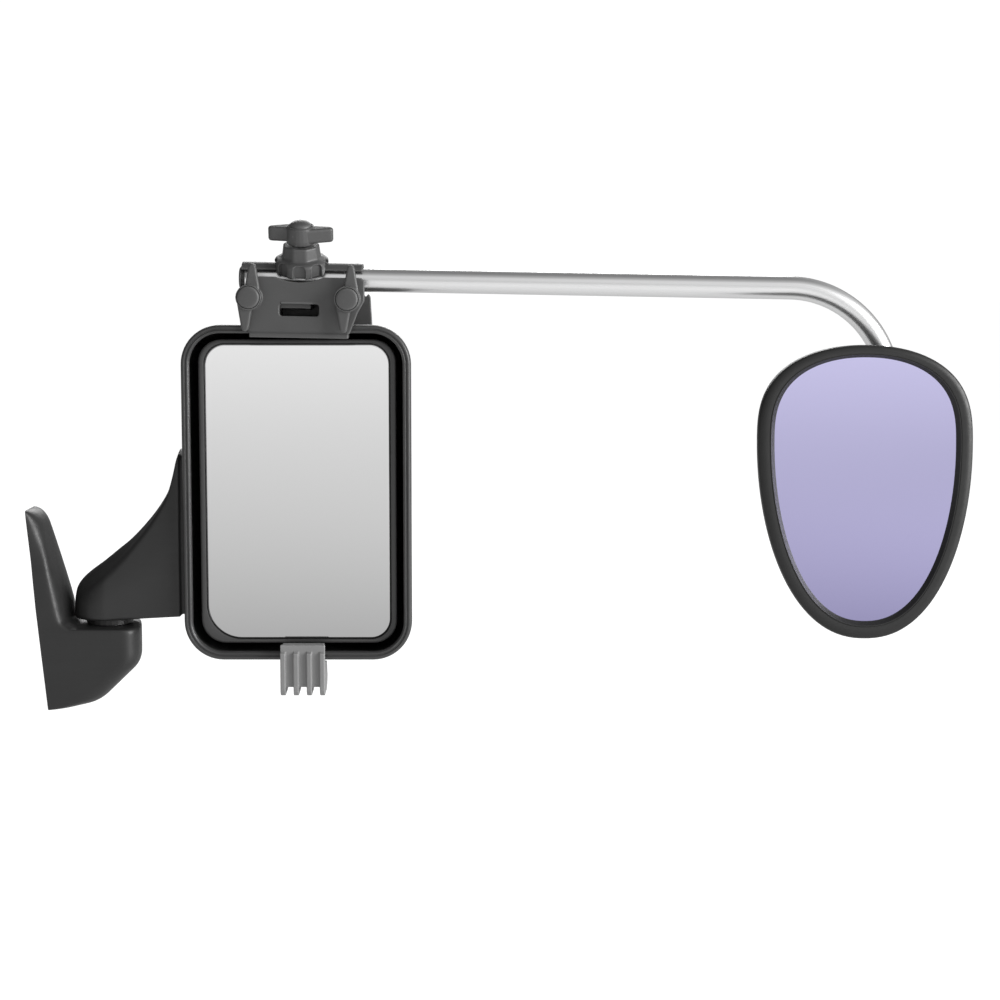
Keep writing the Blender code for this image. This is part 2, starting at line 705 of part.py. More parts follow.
def build_main_glass():
    cup = socket_profile(GLASS_BALL_RADIUS + GAP, GLASS_BALL_RADIUS + 2.2 * MM, 52)
    turned("ball_cup", cup, BLACK, glass_pivot, facing_viewer(GLASS_BALL), steps=16)

    outer = rounded(GLASS_CENTRE, CARRIER_SIZE, (16 * MM, 16 * MM, 17 * MM, 16 * MM), 6)
    corners = (14 * MM, 14 * MM, 24 * MM, 14 * MM)
    pocket = rounded(GLASS_CENTRE, (GLASS_SIZE[0] + 2 * GAP, GLASS_SIZE[1] + 2 * GAP), corners, 6)
    front = CARRIER_FRONT
    carrier = prism("glass_carrier", [outer], front, front + 8 * MM, "Y", RIM, glass_holder)
    bevel(carrier, 1 * MM, 1)
    hollow = rounded(GLASS_CENTRE, (CARRIER_SIZE[0] - 12 * MM, CARRIER_SIZE[1] - 12 * MM), 12 * MM, 4)
    cut(
        carrier,
        prism("glass_pocket", [pocket], front - 5 * MM, front + 3.9 * MM, "Y", None, glass_holder),
        prism("back_hollow", [hollow], front + 5.9 * MM, front + 12 * MM, "Y", None, glass_holder),
    )
    plate = rounded(GLASS_CENTRE, GLASS_SIZE, corners, 6)
    glass = prism("mirror_glass", [plate], front + 0.7 * MM, front + 3.6 * MM, "Y", MIRROR, glass_holder)
    bevel(glass, 0.6 * MM, 1)

    top = GLASS_BALL_RADIUS + 2.5 * MM
    base = -(CARRIER_FRONT + 6.2 * MM - GLASS_BALL_Y)
    ring = [
        (17 * MM, base), (17 * MM, base - 2.5 * MM), (14.5 * MM, 2 * MM), (13 * MM, -5 * MM),
        (top + 0.6 * MM, -5 * MM),
    ]
    for angle in (110, 100, 90, 80, 70, 60, 50):
        ring.append((top * math.sin(math.radians(angle)), top * math.cos(math.radians(angle))))
    ring.append((6 * MM, base))
    turned("socket_retainer", ring, BLACK, glass_holder, facing_viewer(GLASS_BALL), steps=16, closed=True)


# Towing clamp

def build_saddle():
    bore = SLEEVE_RADIUS - 1.5 * MM
    ring_outer = arc((0, 0), SLEEVE_RADIUS, 146, -62, 22)
    ring_inner = arc((0, 0), bore, -62, 146, 22)
    saddle = prism(
        "clamp_saddle", [ring_outer + ring_inner], SADDLE_LEFT, SADDLE_RIGHT, "X", GREY, towing_clamp,
    )
    low = (PLATE_LOW, PLATE_BACK + GAP, -27 * MM)
    join(saddle, block("saddle_block", low, (PLATE_HIGH, 36 * MM, -6 * MM), None, towing_clamp))
    pockets = (
        ("slot_pocket", (-12.5 * MM, -22 * MM, -26 * MM), (15.5 * MM, 8 * MM, -20 * MM)),
        ("slot_corner", (9 * MM, -22 * MM, -21 * MM), (15.5 * MM, 8 * MM, -16.5 * MM)),
        ("saddle_relief", (-24 * MM, 14 * MM, -40 * MM), (26 * MM, 30 * MM, 5 * MM)),
    )
    tools = [block(name, start, end, None, towing_clamp) for name, start, end in pockets]
    tools.append(cylinder("saddle_bore", bore, (0, 0, 0), 120 * MM, "X", None, towing_clamp))
    for side in (-1, 1):
        place = (SCREW_MIDDLE + side * SCREW_A, 0, SCREW_C)
        name = f"saddle_screw_hole_{side}"
        tools.append(cylinder(name, SCREW_RADIUS + 0.5 * MM, place, 160 * MM, "Y", None, towing_clamp))
    knob_hole = cylinder("saddle_knob_hole", 6.6 * MM, (0, 0, 14 * MM), 20 * MM, "Z", None, towing_clamp)
    knob_hole.matrix_basis = KNOB
    cut(saddle, *tools, knob_hole)


def build_front_plate():
    """The plate in front, with an ear round the right screw and a hollow for the bell's edge."""
    outline = [
        (PLATE_LOW + 4 * MM, PLATE_TOP),
        (PLATE_LOW, PLATE_TOP - 5 * MM),
        (PLATE_LOW, PLATE_BOTTOM),
        (PLATE_HIGH, PLATE_BOTTOM),
        (PLATE_HIGH + 5.2 * MM, -22 * MM),
        (EAR_A, -14 * MM),
        (EAR_A, PLATE_TOP - 2 * MM),
        (EAR_A - 2 * MM, PLATE_TOP),
    ]
    slot = rounded((1.6 * MM, -21 * MM), (26.8 * MM, 8.2 * MM), 1.8 * MM, 3)
    plate = prism("front_plate", [outline, slot], PLATE_FRONT, PLATE_BACK, "Y", GREY, towing_clamp)
    lip = [
        (PLATE_FRONT, -35.8 * MM), (PLATE_FRONT - 1.2 * MM, -37.4 * MM), (PLATE_FRONT - 1.2 * MM, -39.8 * MM),
        (-10 * MM, -39.8 * MM), (-10 * MM, -37.4 * MM), (PLATE_BACK, -37.4 * MM), (PLATE_BACK, -35.8 * MM),
    ]
    join(plate, prism("plate_lip", [lip], PLATE_LOW + 1 * MM, PLATE_HIGH - 1 * MM, "X", None, towing_clamp))
    rise, curve = 3.6 * MM, 39.6 * MM
    hollow_centre = (KNOB_A, (PLATE_FRONT + PLATE_BACK) / 2, PLATE_TOP - rise + curve)
    tools = [cylinder("bell_hollow", curve, hollow_centre, 12 * MM, "Y", None, towing_clamp, sides=96)]
    for side in (-1, 1):
        place = (SCREW_MIDDLE + side * SCREW_A, PLATE_FRONT - 1.2 * MM, SCREW_C)
        join(plate, cylinder(f"plate_boss_{side}", 8.2 * MM, place, 3.4 * MM, "Y", None, towing_clamp))
        name = f"plate_screw_hole_{side}"
        tools.append(cylinder(name, SCREW_RADIUS + 0.5 * MM, place, 40 * MM, "Y", None, towing_clamp))
    cut(plate, *tools)
    pad_low = (PLATE_LOW + 6 * MM, PLATE_BACK + GAP, -36.2 * MM)
    pad_high = (PLATE_HIGH - 5 * MM, -14.6 * MM, -27.5 * MM)
    block("front_pad", pad_low, pad_high, RUBBER, towing_clamp)


def build_bell():
    skirt, neck, screw_room, bore_top = 18.5 * MM, 12.2 * MM, 4.6 * MM, 16.4 * MM
    pad_room = 6.6 * MM
    profile = [
        (neck, 25 * MM), (13.4 * MM, 16.6 * MM), (16.4 * MM, 15.8 * MM), (skirt, 13.8 * MM),
        (skirt, 5.9 * MM), (pad_room, 5.9 * MM), (pad_room, bore_top), (screw_room, bore_top),
        (screw_room, 25 * MM),
    ]
    bell = turned("pressure_bell", profile, GREY, towing_clamp, closed=True)
    bell.matrix_basis = KNOB
    cut(bell, cylinder("sleeve_room", SLEEVE_RADIUS + GAP, (0, 0, 0), 60 * MM, "X", None, towing_clamp))
    pad = cylinder("pressure_pad", 6.2 * MM, (0, 0, 9.3 * MM), 6.6 * MM, "Z", RUBBER, pad_body)
    tube_room = cylinder("pad_room", SLEEVE_RADIUS - 1.5 * MM, (0, 0, 0), 40 * MM, "X", None, pad_body)
    tube_room.matrix_basis = CLAMP
    cut(pad, tube_room)


def wing_outline(reach, root, tip):
    """Two tapering wings, each with one side tangent to a round middle, as (along, across) points."""
    half = [(0.2 * root, -0.98 * root)]
    half += arc((reach - tip, -0.2 * tip), tip, -85, 90, 6)
    half += [(0.85 * root, 1.2 * tip)]
    return half + [(-u, -v) for u, v in half]


def build_top_knob():
    disc = [
        (0, 38.5 * MM), (8.4 * MM, 38.5 * MM), (9.4 * MM, 37.5 * MM), (9.8 * MM, 29 * MM),
        (9.4 * MM, 26.2 * MM), (0, 26.2 * MM),
    ]
    knob = turned("top_knob", disc, GREY, knob_body)
    outline = wing_outline(22.2 * MM, 9.2 * MM, 2.9 * MM)
    wings = prism("top_wings", [outline], 27.5 * MM, 37.6 * MM, "Z", None, knob_body)
    join(knob, bevel(wings, 1.6 * MM, 2, 50))
    cut(
        knob,
        cylinder("knob_recess", 7.8 * MM, (0, 0, 40 * MM), 6 * MM, "Z", None, knob_body),
        cylinder("knob_bore", 3 * MM, (0, 0, 28 * MM), 20 * MM, "Z", None, knob_body),
    )
    cap = [
        (0, 41.6 * MM), (3.5 * MM, 41.3 * MM), (6.2 * MM, 40.4 * MM), (7.5 * MM, 39.2 * MM),
        (7.5 * MM, 37.3 * MM), (0, 37.3 * MM),
    ]
    turned("top_cap", cap, GREY, knob_body)
    head, end, radius = 36.9 * MM, 12.9 * MM, 2.7 * MM
    screw = [(0, head), (radius, head), (radius, end + 1.1 * MM), (0.74 * radius, end), (0, end)]
    turned("top_screw", screw, STEEL, knob_body, steps=20)


def build_wing_knob(side, body):
    word = "left" if side < 0 else "right"
    middle = Vector((SCREW_MIDDLE + side * SCREW_A, 0, SCREW_C))
    front = -29.5 * MM

    def round_bar(name, radius, start, end, sides=24, material=None):
        centre = middle + Vector((0, (start + end) / 2, 0))
        return cylinder(name, radius, centre, end - start, "Y", material, body, sides=sides)

    hub = round_bar(f"wing_knob_{word}", 8.6 * MM, front - 1.8 * MM, front + 5.2 * MM, material=GREY)
    outline = wing_outline(23 * MM, 8.4 * MM, 2.6 * MM)
    wings = prism(f"wings_{word}", [outline], front, front + 5.2 * MM, "Y", None, body)
    upright = Matrix.Rotation(math.radians(WING_TURN), 4, Vector((0, -1, 0)))
    wings.matrix_basis = CLAMP @ Matrix.Translation(middle) @ upright
    join(hub, bevel(wings, 1.2 * MM, 2, 50))
    cut(
        hub,
        round_bar(f"cap_seat_{word}", 7.8 * MM, front - 4.3 * MM, front - 0.3 * MM),
        round_bar(f"knob_bore_{word}", SCREW_RADIUS + GAP, front - 10 * MM, front + 10 * MM),
    )
    cap = [(0, 2.6 * MM), (6.6 * MM, 2.4 * MM), (7.5 * MM, 1.6 * MM), (7.5 * MM, 0), (0, 0)]
    seat = facing_viewer(middle + Vector((0, front - GAP - GAP, 0)))
    turned(f"wing_cap_{word}", cap, GREY, body, seat)
    round_bar(f"clamp_screw_{word}", SCREW_RADIUS, front + GAP, JAW_BACK + 8 * MM, 20, STEEL)


def build_rear_jaw():
    """The jaw behind the housing: two legs, an eye round each screw and a fin on the outboard side."""
    legs = [
        (-38 * MM, -6 * MM), (-42 * MM, -36 * MM), (-36 * MM, -90 * MM), (-17 * MM, -90 * MM),
        (-14 * MM, -40 * MM), (-10 * MM, -30 * MM), (12 * MM, -30 * MM), (16 * MM, -40 * MM),
        (20 * MM, -90 * MM), (40 * MM, -90 * MM), (46.8 * MM, -40 * MM), (44.7 * MM, -12 * MM),
        (43.2 * MM, -9.8 * MM), (41.6 * MM, -12.4 * MM), (40.2 * MM, -11 * MM), (38.4 * MM, -6 * MM),
    ]
    jaw = prism("rear_jaw", [legs], JAW_FRONT, JAW_BACK, "Y", GREY, rear_jaw_body)
    for word, (inner, outer) in (("left", (-35 * MM, -18 * MM)), ("right", (21 * MM, 39 * MM))):
        low = (inner, JAW_FRONT - 2.8 * MM, -89 * MM)
        high = (outer, JAW_FRONT - GAP, -66 * MM)
        block(f"rear_pad_{word}", low, high, RUBBER, rear_jaw_body)
    for word, side in (("left", -1), ("right", 1)):
        middle = Vector((SCREW_MIDDLE + side * SCREW_A, JAW_FRONT, SCREW_C))
        name = f"jaw_hole_{word}"
        cut(jaw, cylinder(name, SCREW_RADIUS + 0.5 * MM, middle, 30 * MM, "Y", None, rear_jaw_body))
        place = middle + Vector((0, JAW_BACK - JAW_FRONT + GAP + 2 * MM, 0))
        hex_nut(f"jaw_nut_{word}", 4.8 * MM, SCREW_RADIUS + GAP, place, 4 * MM, "Y", rear_jaw_body)


def strap_path():
    """The strap's middle line behind and under the housing, as (y, z) points."""
    back = 48.4 * MM
    points = [(43.6 * MM, 189.6 * MM), (47 * MM, 172 * MM), (back, 155 * MM), (back, 60 * MM), (back, 4 * MM)]
    points += arc((back - 38 * MM, 4 * MM), 38 * MM, -12, -66, 6)
    points += [(4 * MM, -38.5 * MM), (-10.9 * MM, -45.5 * MM)]
    return points


def ribbon(path, half):
    """Both sides of a thick line."""
    left, right = [], []
    for i, (u, v) in enumerate(path):
        before, after = path[max(i - 1, 0)], path[min(i + 1, len(path) - 1)]
        du, dv = after[0] - before[0], after[1] - before[1]
        size = math.hypot(du, dv)
        left.append((u - dv / size * half, v + du / size * half))
        right.append((u + dv / size * half, v - du / size * half))
    return left + list(reversed(right))


STRAP_HALF = 8 * MM


def build_strap():
    outline = ribbon(strap_path(), 1.6 * MM)
    prism("strap", [outline], HOOK_CENTRE - STRAP_HALF, HOOK_CENTRE + STRAP_HALF, "X", RUBBER, strap_body)
    pin = (HOOK_CENTRE, 43 * MM, 193.2 * MM)
    cylinder("strap_pin", 3 * MM, pin, 2 * STRAP_HALF + 7 * MM, "X", STEEL, strap_body)
    outline = [
        (18 * MM, 200.2 * MM), (18 * MM, 195.2 * MM), (30 * MM, 193.2 * MM), (38 * MM, 189 * MM),
        (46.8 * MM, 189 * MM), (46.8 * MM, 196.6 * MM), (43 * MM, 200.2 * MM),
    ]
    side = STRAP_HALF + 4.2 * MM
    yoke = prism("strap_yoke", [outline], HOOK_CENTRE - side, HOOK_CENTRE + side, "X", GREY, strap_body)
    room = block(
        "yoke_room", (HOOK_CENTRE - STRAP_HALF - 0.8 * MM, 35 * MM, 180 * MM),
        (HOOK_CENTRE + STRAP_HALF + 0.8 * MM, 70 * MM, 220 * MM), None, strap_body,
    )
    pin_hole = cylinder("pin_hole", 3.3 * MM, pin, 60 * MM, "X", None, strap_body)
    cut(yoke, room, pin_hole)


def build_hook():
    front, back = -35 * MM, -31.2 * MM
    low, high = HOOK_CENTRE - HOOK_HALF, HOOK_CENTRE + HOOK_HALF
    hook = block("strap_hook", (low, front, -52.5 * MM), (high, back, -23.4 * MM), HOOK, hook_body)
    lip_low, lip_high = (low + 1 * MM, front, -28.8 * MM), (high - 1 * MM, -24.6 * MM, -23.4 * MM)
    join(hook, block("hook_lip", lip_low, lip_high, None, hook_body))
    blade = [
        (front - 2.4 * MM, -29 * MM), (front + 1 * MM, -27 * MM), (back + 0.5 * MM, -35.6 * MM),
        (-16 * MM, -37.2 * MM),
    ]
    blade += arc((-23 * MM, -46 * MM), 11.6 * MM, -10, -100, 5)
    blade += arc((front + 2.2 * MM, -54 * MM), 4.6 * MM, -100, -180, 4)
    step = (2 * HOOK_HALF - 3.5 * MM) / 3
    for i in range(4):
        start = low + i * step
        join(hook, prism(f"hook_blade_{i}", [blade], start, start + 3.5 * MM, "X", None, hook_body))


# Towing arm

def tube_points():
    points = [(SADDLE_LEFT, 0, 0), (60 * MM, 0, 0), (200 * MM, 0, 0)]
    for u, v in arc((BEND_START, -BEND_RADIUS), BEND_RADIUS, 90, 0, 11):
        points.append((u, 0, v))
    points.append((SWIVEL_A, 0, TUBE_END))
    return points


def build_tube():
    tube = from_bmesh("tube", pipe(tube_points(), TUBE_RADIUS, 6, False), TUBE, tube_body)
    wall = tube.modifiers.new("wall", "SOLIDIFY")
    wall.thickness = TUBE_WALL
    wall.offset = -1
    plug = [
        (0, 1.8 * MM), (6.6 * MM, 1.8 * MM), (7.9 * MM, 0.9 * MM), (7.9 * MM, GAP), (6.2 * MM, GAP),
        (6 * MM, -10 * MM), (0, -10 * MM),
    ]
    end = Matrix.Translation((SADDLE_LEFT, 0, 0)) @ Matrix.Rotation(math.radians(-90), 4, "Y")
    turned("tube_plug", plug, GREY, tube_body, end)
    outer = arc((0, 0), 9.4 * MM, 142, -58, 18)
    inner = arc((0, 0), TUBE_RADIUS + GAP, -58, 142, 18)
    low, high = SADDLE_LEFT + 2 * MM, SADDLE_RIGHT - 1 * MM
    prism("grip_sleeve", [outer + inner], low, high, "X", RUBBER, sleeve_body)


def build_swivel():
    ear_y = 16.5 * MM
    body = cylinder("swivel_clamp", 12.6 * MM, (0, 0, 0), 17 * MM, "Z", BLACK, swivel_body)
    stub_middle = (0, -BALL_OUT / 2 - 4 * MM, 0)
    stub = cylinder("swivel_stub", 3.2 * MM, stub_middle, BALL_OUT - 8 * MM, "Y", None, swivel_body, sides=20)
    knuckle = ball("swivel_ball", BALL_RADIUS, (0, -BALL_OUT, 0), None, swivel_body)
    ears = block("swivel_ears", (-7 * MM, 6 * MM, -7 * MM), (7 * MM, 22 * MM, 7 * MM), None, swivel_body)
    join(body, ears, stub, knuckle)
    cut(
        body,
        cylinder("swivel_bore", TUBE_RADIUS + GAP, (0, 0, 0), 30 * MM, "Z", None, swivel_body),
        block("swivel_slit", (-1 * MM, 5 * MM, -20 * MM), (1 * MM, 30 * MM, 20 * MM), None, swivel_body),
        cylinder("swivel_screw_hole", 2.3 * MM, (0, ear_y, 0), 40 * MM, "X", None, swivel_body, sides=20),
    )
    place = Matrix.Translation((10.4 * MM, ear_y, 0)) @ axis_matrix("X")
    shape = screw_profile(4 * MM, 3 * MM, 2 * MM, 23 * MM)
    turned("swivel_screw", shape, STEEL, swivel_body, place, steps=20)
    hex_nut("swivel_nut", 4.2 * MM, 2.3 * MM, (-9.3 * MM, ear_y, 0), 3.6 * MM, "X", swivel_body)


def build_head():
    cup = socket_profile(BALL_RADIUS + GAP, BALL_RADIUS + 2 * MM, 55)
    turned("head_cup", cup, BLACK, cup_body, facing_viewer(BALL), steps=16)

    steps = (
        (0, HEAD_SHELL_FRONT), (1 * MM, -50 * MM), (6 * MM, -44 * MM), (15 * MM, -39 * MM),
        (30 * MM, HEAD_BACK),
    )
    outside = [at_y(egg(inset), y) for inset, y in steps]
    inside = [at_y(egg(HEAD_WALL), -70 * MM)]
    inside += [at_y(egg(inset + HEAD_WALL), y - HEAD_WALL * min(1, inset / (6 * MM))) for inset, y in steps]
    shell = loft("head_shell", outside, BLACK, head_body)
    cut(
        shell,
        loft("head_inside", inside, None, head_body),
        cylinder("ball_hole", 9 * MM, (BALL.x, HEAD_BACK, BALL.z), 20 * MM, "Y", None, head_body),
    )
    outer = egg(0)
    inner = egg(0, width=61 * MM, top=175.8 * MM, bottom=-2.9 * MM)
    bezel = prism("head_bezel", [outer, inner], HEAD_FRONT, HEAD_SHELL_FRONT - GAP, "Y", RIM, head_body)
    seat = egg(0, width=63.6 * MM, top=178.4 * MM, bottom=-5.8 * MM)
    bevel(bezel, 1.2 * MM, 1, 50)
    cut(bezel, prism("glass_seat", [seat], HEAD_FRONT + 3 * MM, HEAD_BACK, "Y", None, head_body))
    plate = egg(0, width=63 * MM, top=177.8 * MM, bottom=-5.2 * MM)
    prism("head_glass", [plate], HEAD_FRONT + 3.3 * MM, HEAD_FRONT + 6 * MM, "Y", LILAC, head_body)
    sphere = BALL_RADIUS + 2.3 * MM
    ring = [(13 * MM, 7 * MM), (13 * MM, -(HEAD_BACK - HEAD_WALL - GAP - BALL.y))]
    ring.append((sphere, ring[-1][1]))
    for angle in (90, 80, 70, 60):
        ring.append((sphere * math.sin(math.radians(angle)), sphere * math.cos(math.radians(angle))))
    ring.append((6.5 * MM, 7 * MM))
    turned("head_socket_ring", ring, BLACK, head_body, facing_viewer(BALL), steps=16, closed=True)


strap_body = Body("strap_mount", (0, 0, 0), WORLD, towing_clamp)

build_base()
build_bracket()
build_door_screws()
build_glass_mount(build_housing())
build_pivot()
build_main_glass()
build_saddle()
build_front_plate()
build_bell()
build_top_knob()
build_wing_knob(-1, left_screw)
build_wing_knob(1, right_screw)
build_rear_jaw()
build_strap()
build_hook()
build_tube()
build_swivel()
build_head()
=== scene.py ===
"""Looks of a van side mirror with a clamp-on towing mirror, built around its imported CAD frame.

+X points outboard, +Y away from the glass faces, +Z up. Everything is in metres.
"""

import json
import math

import bmesh
import bpy
from mathutils import Matrix, Vector

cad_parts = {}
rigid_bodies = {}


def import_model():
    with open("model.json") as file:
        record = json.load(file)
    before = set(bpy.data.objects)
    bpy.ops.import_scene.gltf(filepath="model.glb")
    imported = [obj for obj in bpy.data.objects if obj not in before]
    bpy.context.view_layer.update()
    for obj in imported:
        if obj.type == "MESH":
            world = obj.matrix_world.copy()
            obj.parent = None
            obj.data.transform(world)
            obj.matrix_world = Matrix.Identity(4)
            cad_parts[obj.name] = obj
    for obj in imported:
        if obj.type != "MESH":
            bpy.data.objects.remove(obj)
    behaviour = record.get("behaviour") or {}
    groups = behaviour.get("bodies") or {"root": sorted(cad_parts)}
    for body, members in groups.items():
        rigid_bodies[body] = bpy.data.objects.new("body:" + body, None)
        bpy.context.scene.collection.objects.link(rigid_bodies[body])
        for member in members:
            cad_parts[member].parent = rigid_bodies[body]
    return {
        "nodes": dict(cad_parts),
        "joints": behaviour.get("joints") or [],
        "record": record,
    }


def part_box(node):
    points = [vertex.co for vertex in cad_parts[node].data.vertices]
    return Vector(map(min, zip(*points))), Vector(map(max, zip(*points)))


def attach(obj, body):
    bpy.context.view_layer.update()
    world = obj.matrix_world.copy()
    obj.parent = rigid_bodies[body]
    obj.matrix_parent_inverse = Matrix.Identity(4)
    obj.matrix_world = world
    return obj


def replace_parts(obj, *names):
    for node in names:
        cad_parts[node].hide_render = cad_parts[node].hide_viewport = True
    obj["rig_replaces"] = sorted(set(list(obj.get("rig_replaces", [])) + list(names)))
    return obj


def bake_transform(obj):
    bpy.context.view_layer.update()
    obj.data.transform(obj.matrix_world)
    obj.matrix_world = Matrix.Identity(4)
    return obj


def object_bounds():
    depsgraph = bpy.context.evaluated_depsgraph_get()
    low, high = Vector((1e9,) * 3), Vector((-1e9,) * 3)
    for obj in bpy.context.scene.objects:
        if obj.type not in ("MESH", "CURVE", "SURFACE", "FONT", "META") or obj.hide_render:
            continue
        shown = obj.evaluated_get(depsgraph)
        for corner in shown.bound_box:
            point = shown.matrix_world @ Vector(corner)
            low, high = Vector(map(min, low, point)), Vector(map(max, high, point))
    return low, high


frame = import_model()
CAD_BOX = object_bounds()

MM = 0.001
BACK = Vector((0, 1, 0))
JOINTS = {joint["name"]: joint for joint in frame["joints"]}
TURN_X = Matrix.Rotation(math.radians(90), 4, "Y")
TO_VIEWER = Matrix.Rotation(math.radians(90), 4, "X")


def joint_point(name):
    return Vector(JOINTS[name]["pos_m"])


def joint_axis(name):
    return Vector(JOINTS[name]["axis"]).normalized()


def centre_of(node):
    low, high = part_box(node)
    return (Vector(low) + Vector(high)) / 2


def frame_matrix(origin, x_axis, y_axis):
    """A frame at origin with these X and Y axes."""
    z_axis = x_axis.cross(y_axis)
    turn = Matrix((x_axis, y_axis, z_axis)).transposed().to_4x4()
    return Matrix.Translation(origin) @ turn


TUBE_AXIS = joint_axis("tube_turn")
CLAMP = frame_matrix(joint_point("tube_turn"), TUBE_AXIS, BACK)
KNOB_AXIS = joint_axis("top_knob_turn")
KNOB = frame_matrix(joint_point("top_knob_turn"), TUBE_AXIS, KNOB_AXIS.cross(TUBE_AXIS))
PIVOT = joint_point("fold")


# Materials

class Surface:
    """A Principled material and short calls to build its nodes."""

    def __init__(self, name, roughness, metallic=0.0):
        self.material = bpy.data.materials.new(name)
        self.material.use_nodes = True
        self.tree = self.material.node_tree
        self.shader = self.tree.nodes["Principled BSDF"]
        self.shader.inputs["Roughness"].default_value = roughness
        self.shader.inputs["Metallic"].default_value = metallic
        self.place = self.tree.nodes.new("ShaderNodeTexCoord").outputs["Object"]

    def node(self, kind, links=(), **values):
        made = self.tree.nodes.new(kind)
        for name, value in values.items():
            setattr(made, name, value)
        for socket, source in dict(links).items():
            if isinstance(source, bpy.types.NodeSocket):
                self.tree.links.new(source, made.inputs[socket])
            else:
                made.inputs[socket].default_value = source
        return made

    def noise(self, scale, detail=2.0, stretch=None, place=None, roughness=0.5):
        place = place or self.place
        if stretch:
            mapping = self.node("ShaderNodeMapping", {"Vector": place, "Scale": stretch})
            place = mapping.outputs["Vector"]
        made = self.node(
            "ShaderNodeTexNoise",
            {"Vector": place, "Scale": scale, "Detail": detail, "Roughness": roughness},
        )
        return made.outputs["Fac"]

    def ramp(self, source, stops):
        """A colour ramp; stops are (place, grey or colour)."""
        made = self.node("ShaderNodeValToRGB", {"Fac": source})
        points = made.color_ramp.elements
        while len(points) < len(stops):
            points.new(0.5)
        for point, (at, value) in zip(points, stops):
            point.position = at
            colour = value if isinstance(value, tuple) else (value,) * 3
            point.color = (*colour, 1)
        return made.outputs["Color"]

    def scale_range(self, source, low, high, start=0.3, end=0.7):
        made = self.node(
            "ShaderNodeMapRange",
            {"Value": source, "From Min": start, "From Max": end, "To Min": low, "To Max": high},
        )
        return made.outputs["Result"]

    def mix(self, factor, first, second, blend="MIX"):
        made = self.node("ShaderNodeMix", data_type="RGBA", blend_type=blend)
        for socket, source in ((0, factor), (6, first), (7, second)):
            if isinstance(source, bpy.types.NodeSocket):
                self.tree.links.new(source, made.inputs[socket])
            else:
                made.inputs[socket].default_value = source
        return made.outputs[2]

    def bump(self, height, strength, distance, after=None):
        links = {"Height": height, "Strength": strength, "Distance": distance}
        if after:
            links["Normal"] = after
        return self.node("ShaderNodeBump", links).outputs["Normal"]

    def set(self, socket, source):
        self.tree.links.new(source, self.shader.inputs[socket])


def grey(value):
    return (value, value, value, 1)


def moulded_plastic(name, base, roughness, grain_size, grain_strength, wear=1.35, specular=0.5):
    """Moulded plastic: leather-fine grain, cloudy flow marks, paler rubbed edges."""
    surface = Surface(name, roughness)
    clouds = surface.noise(38, 4)
    flow = surface.noise(16, 3, stretch=(1, 1, 0.25))
    tone = surface.mix(surface.scale_range(clouds, 0, 1), grey(base * 0.9), grey(base * 1.1))
    tone = surface.mix(surface.scale_range(flow, 0, 0.5), tone, grey(base * 1.06))
    edge = surface.node("ShaderNodeNewGeometry").outputs["Pointiness"]
    rub = surface.scale_range(edge, 0, 1, 0.515, 0.56)
    tone = surface.mix(rub, tone, grey(base * wear))
    surface.set("Base Color", tone)
    grain = surface.noise(1 / grain_size, 3, roughness=0.6)
    ripple = surface.noise(150, 2)
    scuffs = surface.noise(300, 4, stretch=(0.15, 1, 1))
    surface.set("Roughness", surface.scale_range(scuffs, roughness - 0.05, roughness + 0.07))
    normal = surface.bump(grain, grain_strength, grain_size * 0.5)
    surface.set("Normal", surface.bump(ripple, 0.06, 0.3 * MM, normal))
    surface.shader.inputs["Specular IOR Level"].default_value = specular
    return surface.material


def rubber(name, base=0.018):
    """Matt rubber: pores and a faint bloom in the hollows."""
    surface = Surface(name, 0.82)
    bloom = surface.noise(60, 5, roughness=0.65)
    tone = surface.mix(surface.scale_range(bloom, 0, 0.7), grey(base), grey(base * 2.1))
    surface.set("Base Color", tone)
    pores = surface.node("ShaderNodeTexVoronoi", {"Vector": surface.place, "Scale": 1600})
    surface.set("Roughness", surface.scale_range(bloom, 0.74, 0.9))
    surface.set("Normal", surface.bump(pores.outputs["Distance"], 0.22, 0.2 * MM))
    return surface.material


def zinc(name):
    """Zinc-plated steel: fine turning lines, a faint warm passivation and dull patches."""
    surface = Surface(name, 0.34, 1.0)
    patches = surface.noise(220, 4)
    cool, warm = (0.56, 0.57, 0.58, 1), (0.66, 0.64, 0.58, 1)
    tone = surface.mix(surface.scale_range(patches, 0, 1), cool, warm)
    surface.set("Base Color", tone)
    lines = surface.noise(900, 2, stretch=(0.2, 1, 1))
    surface.set("Roughness", surface.scale_range(patches, 0.26, 0.44))
    surface.set("Normal", surface.bump(lines, 0.12, 0.05 * MM))
    return surface.material


def cast_metal(name):
    """Die-cast alloy: pebbled skin and darker hollows."""
    surface = Surface(name, 0.5, 1.0)
    skin = surface.noise(700, 5, roughness=0.7)
    cloud = surface.noise(45, 3)
    surface.set("Base Color", surface.mix(surface.scale_range(cloud, 0, 1), grey(0.36), grey(0.5)))
    surface.set("Roughness", surface.scale_range(skin, 0.42, 0.62))
    surface.set("Normal", surface.bump(skin, 0.3, 0.15 * MM))
    return surface.material


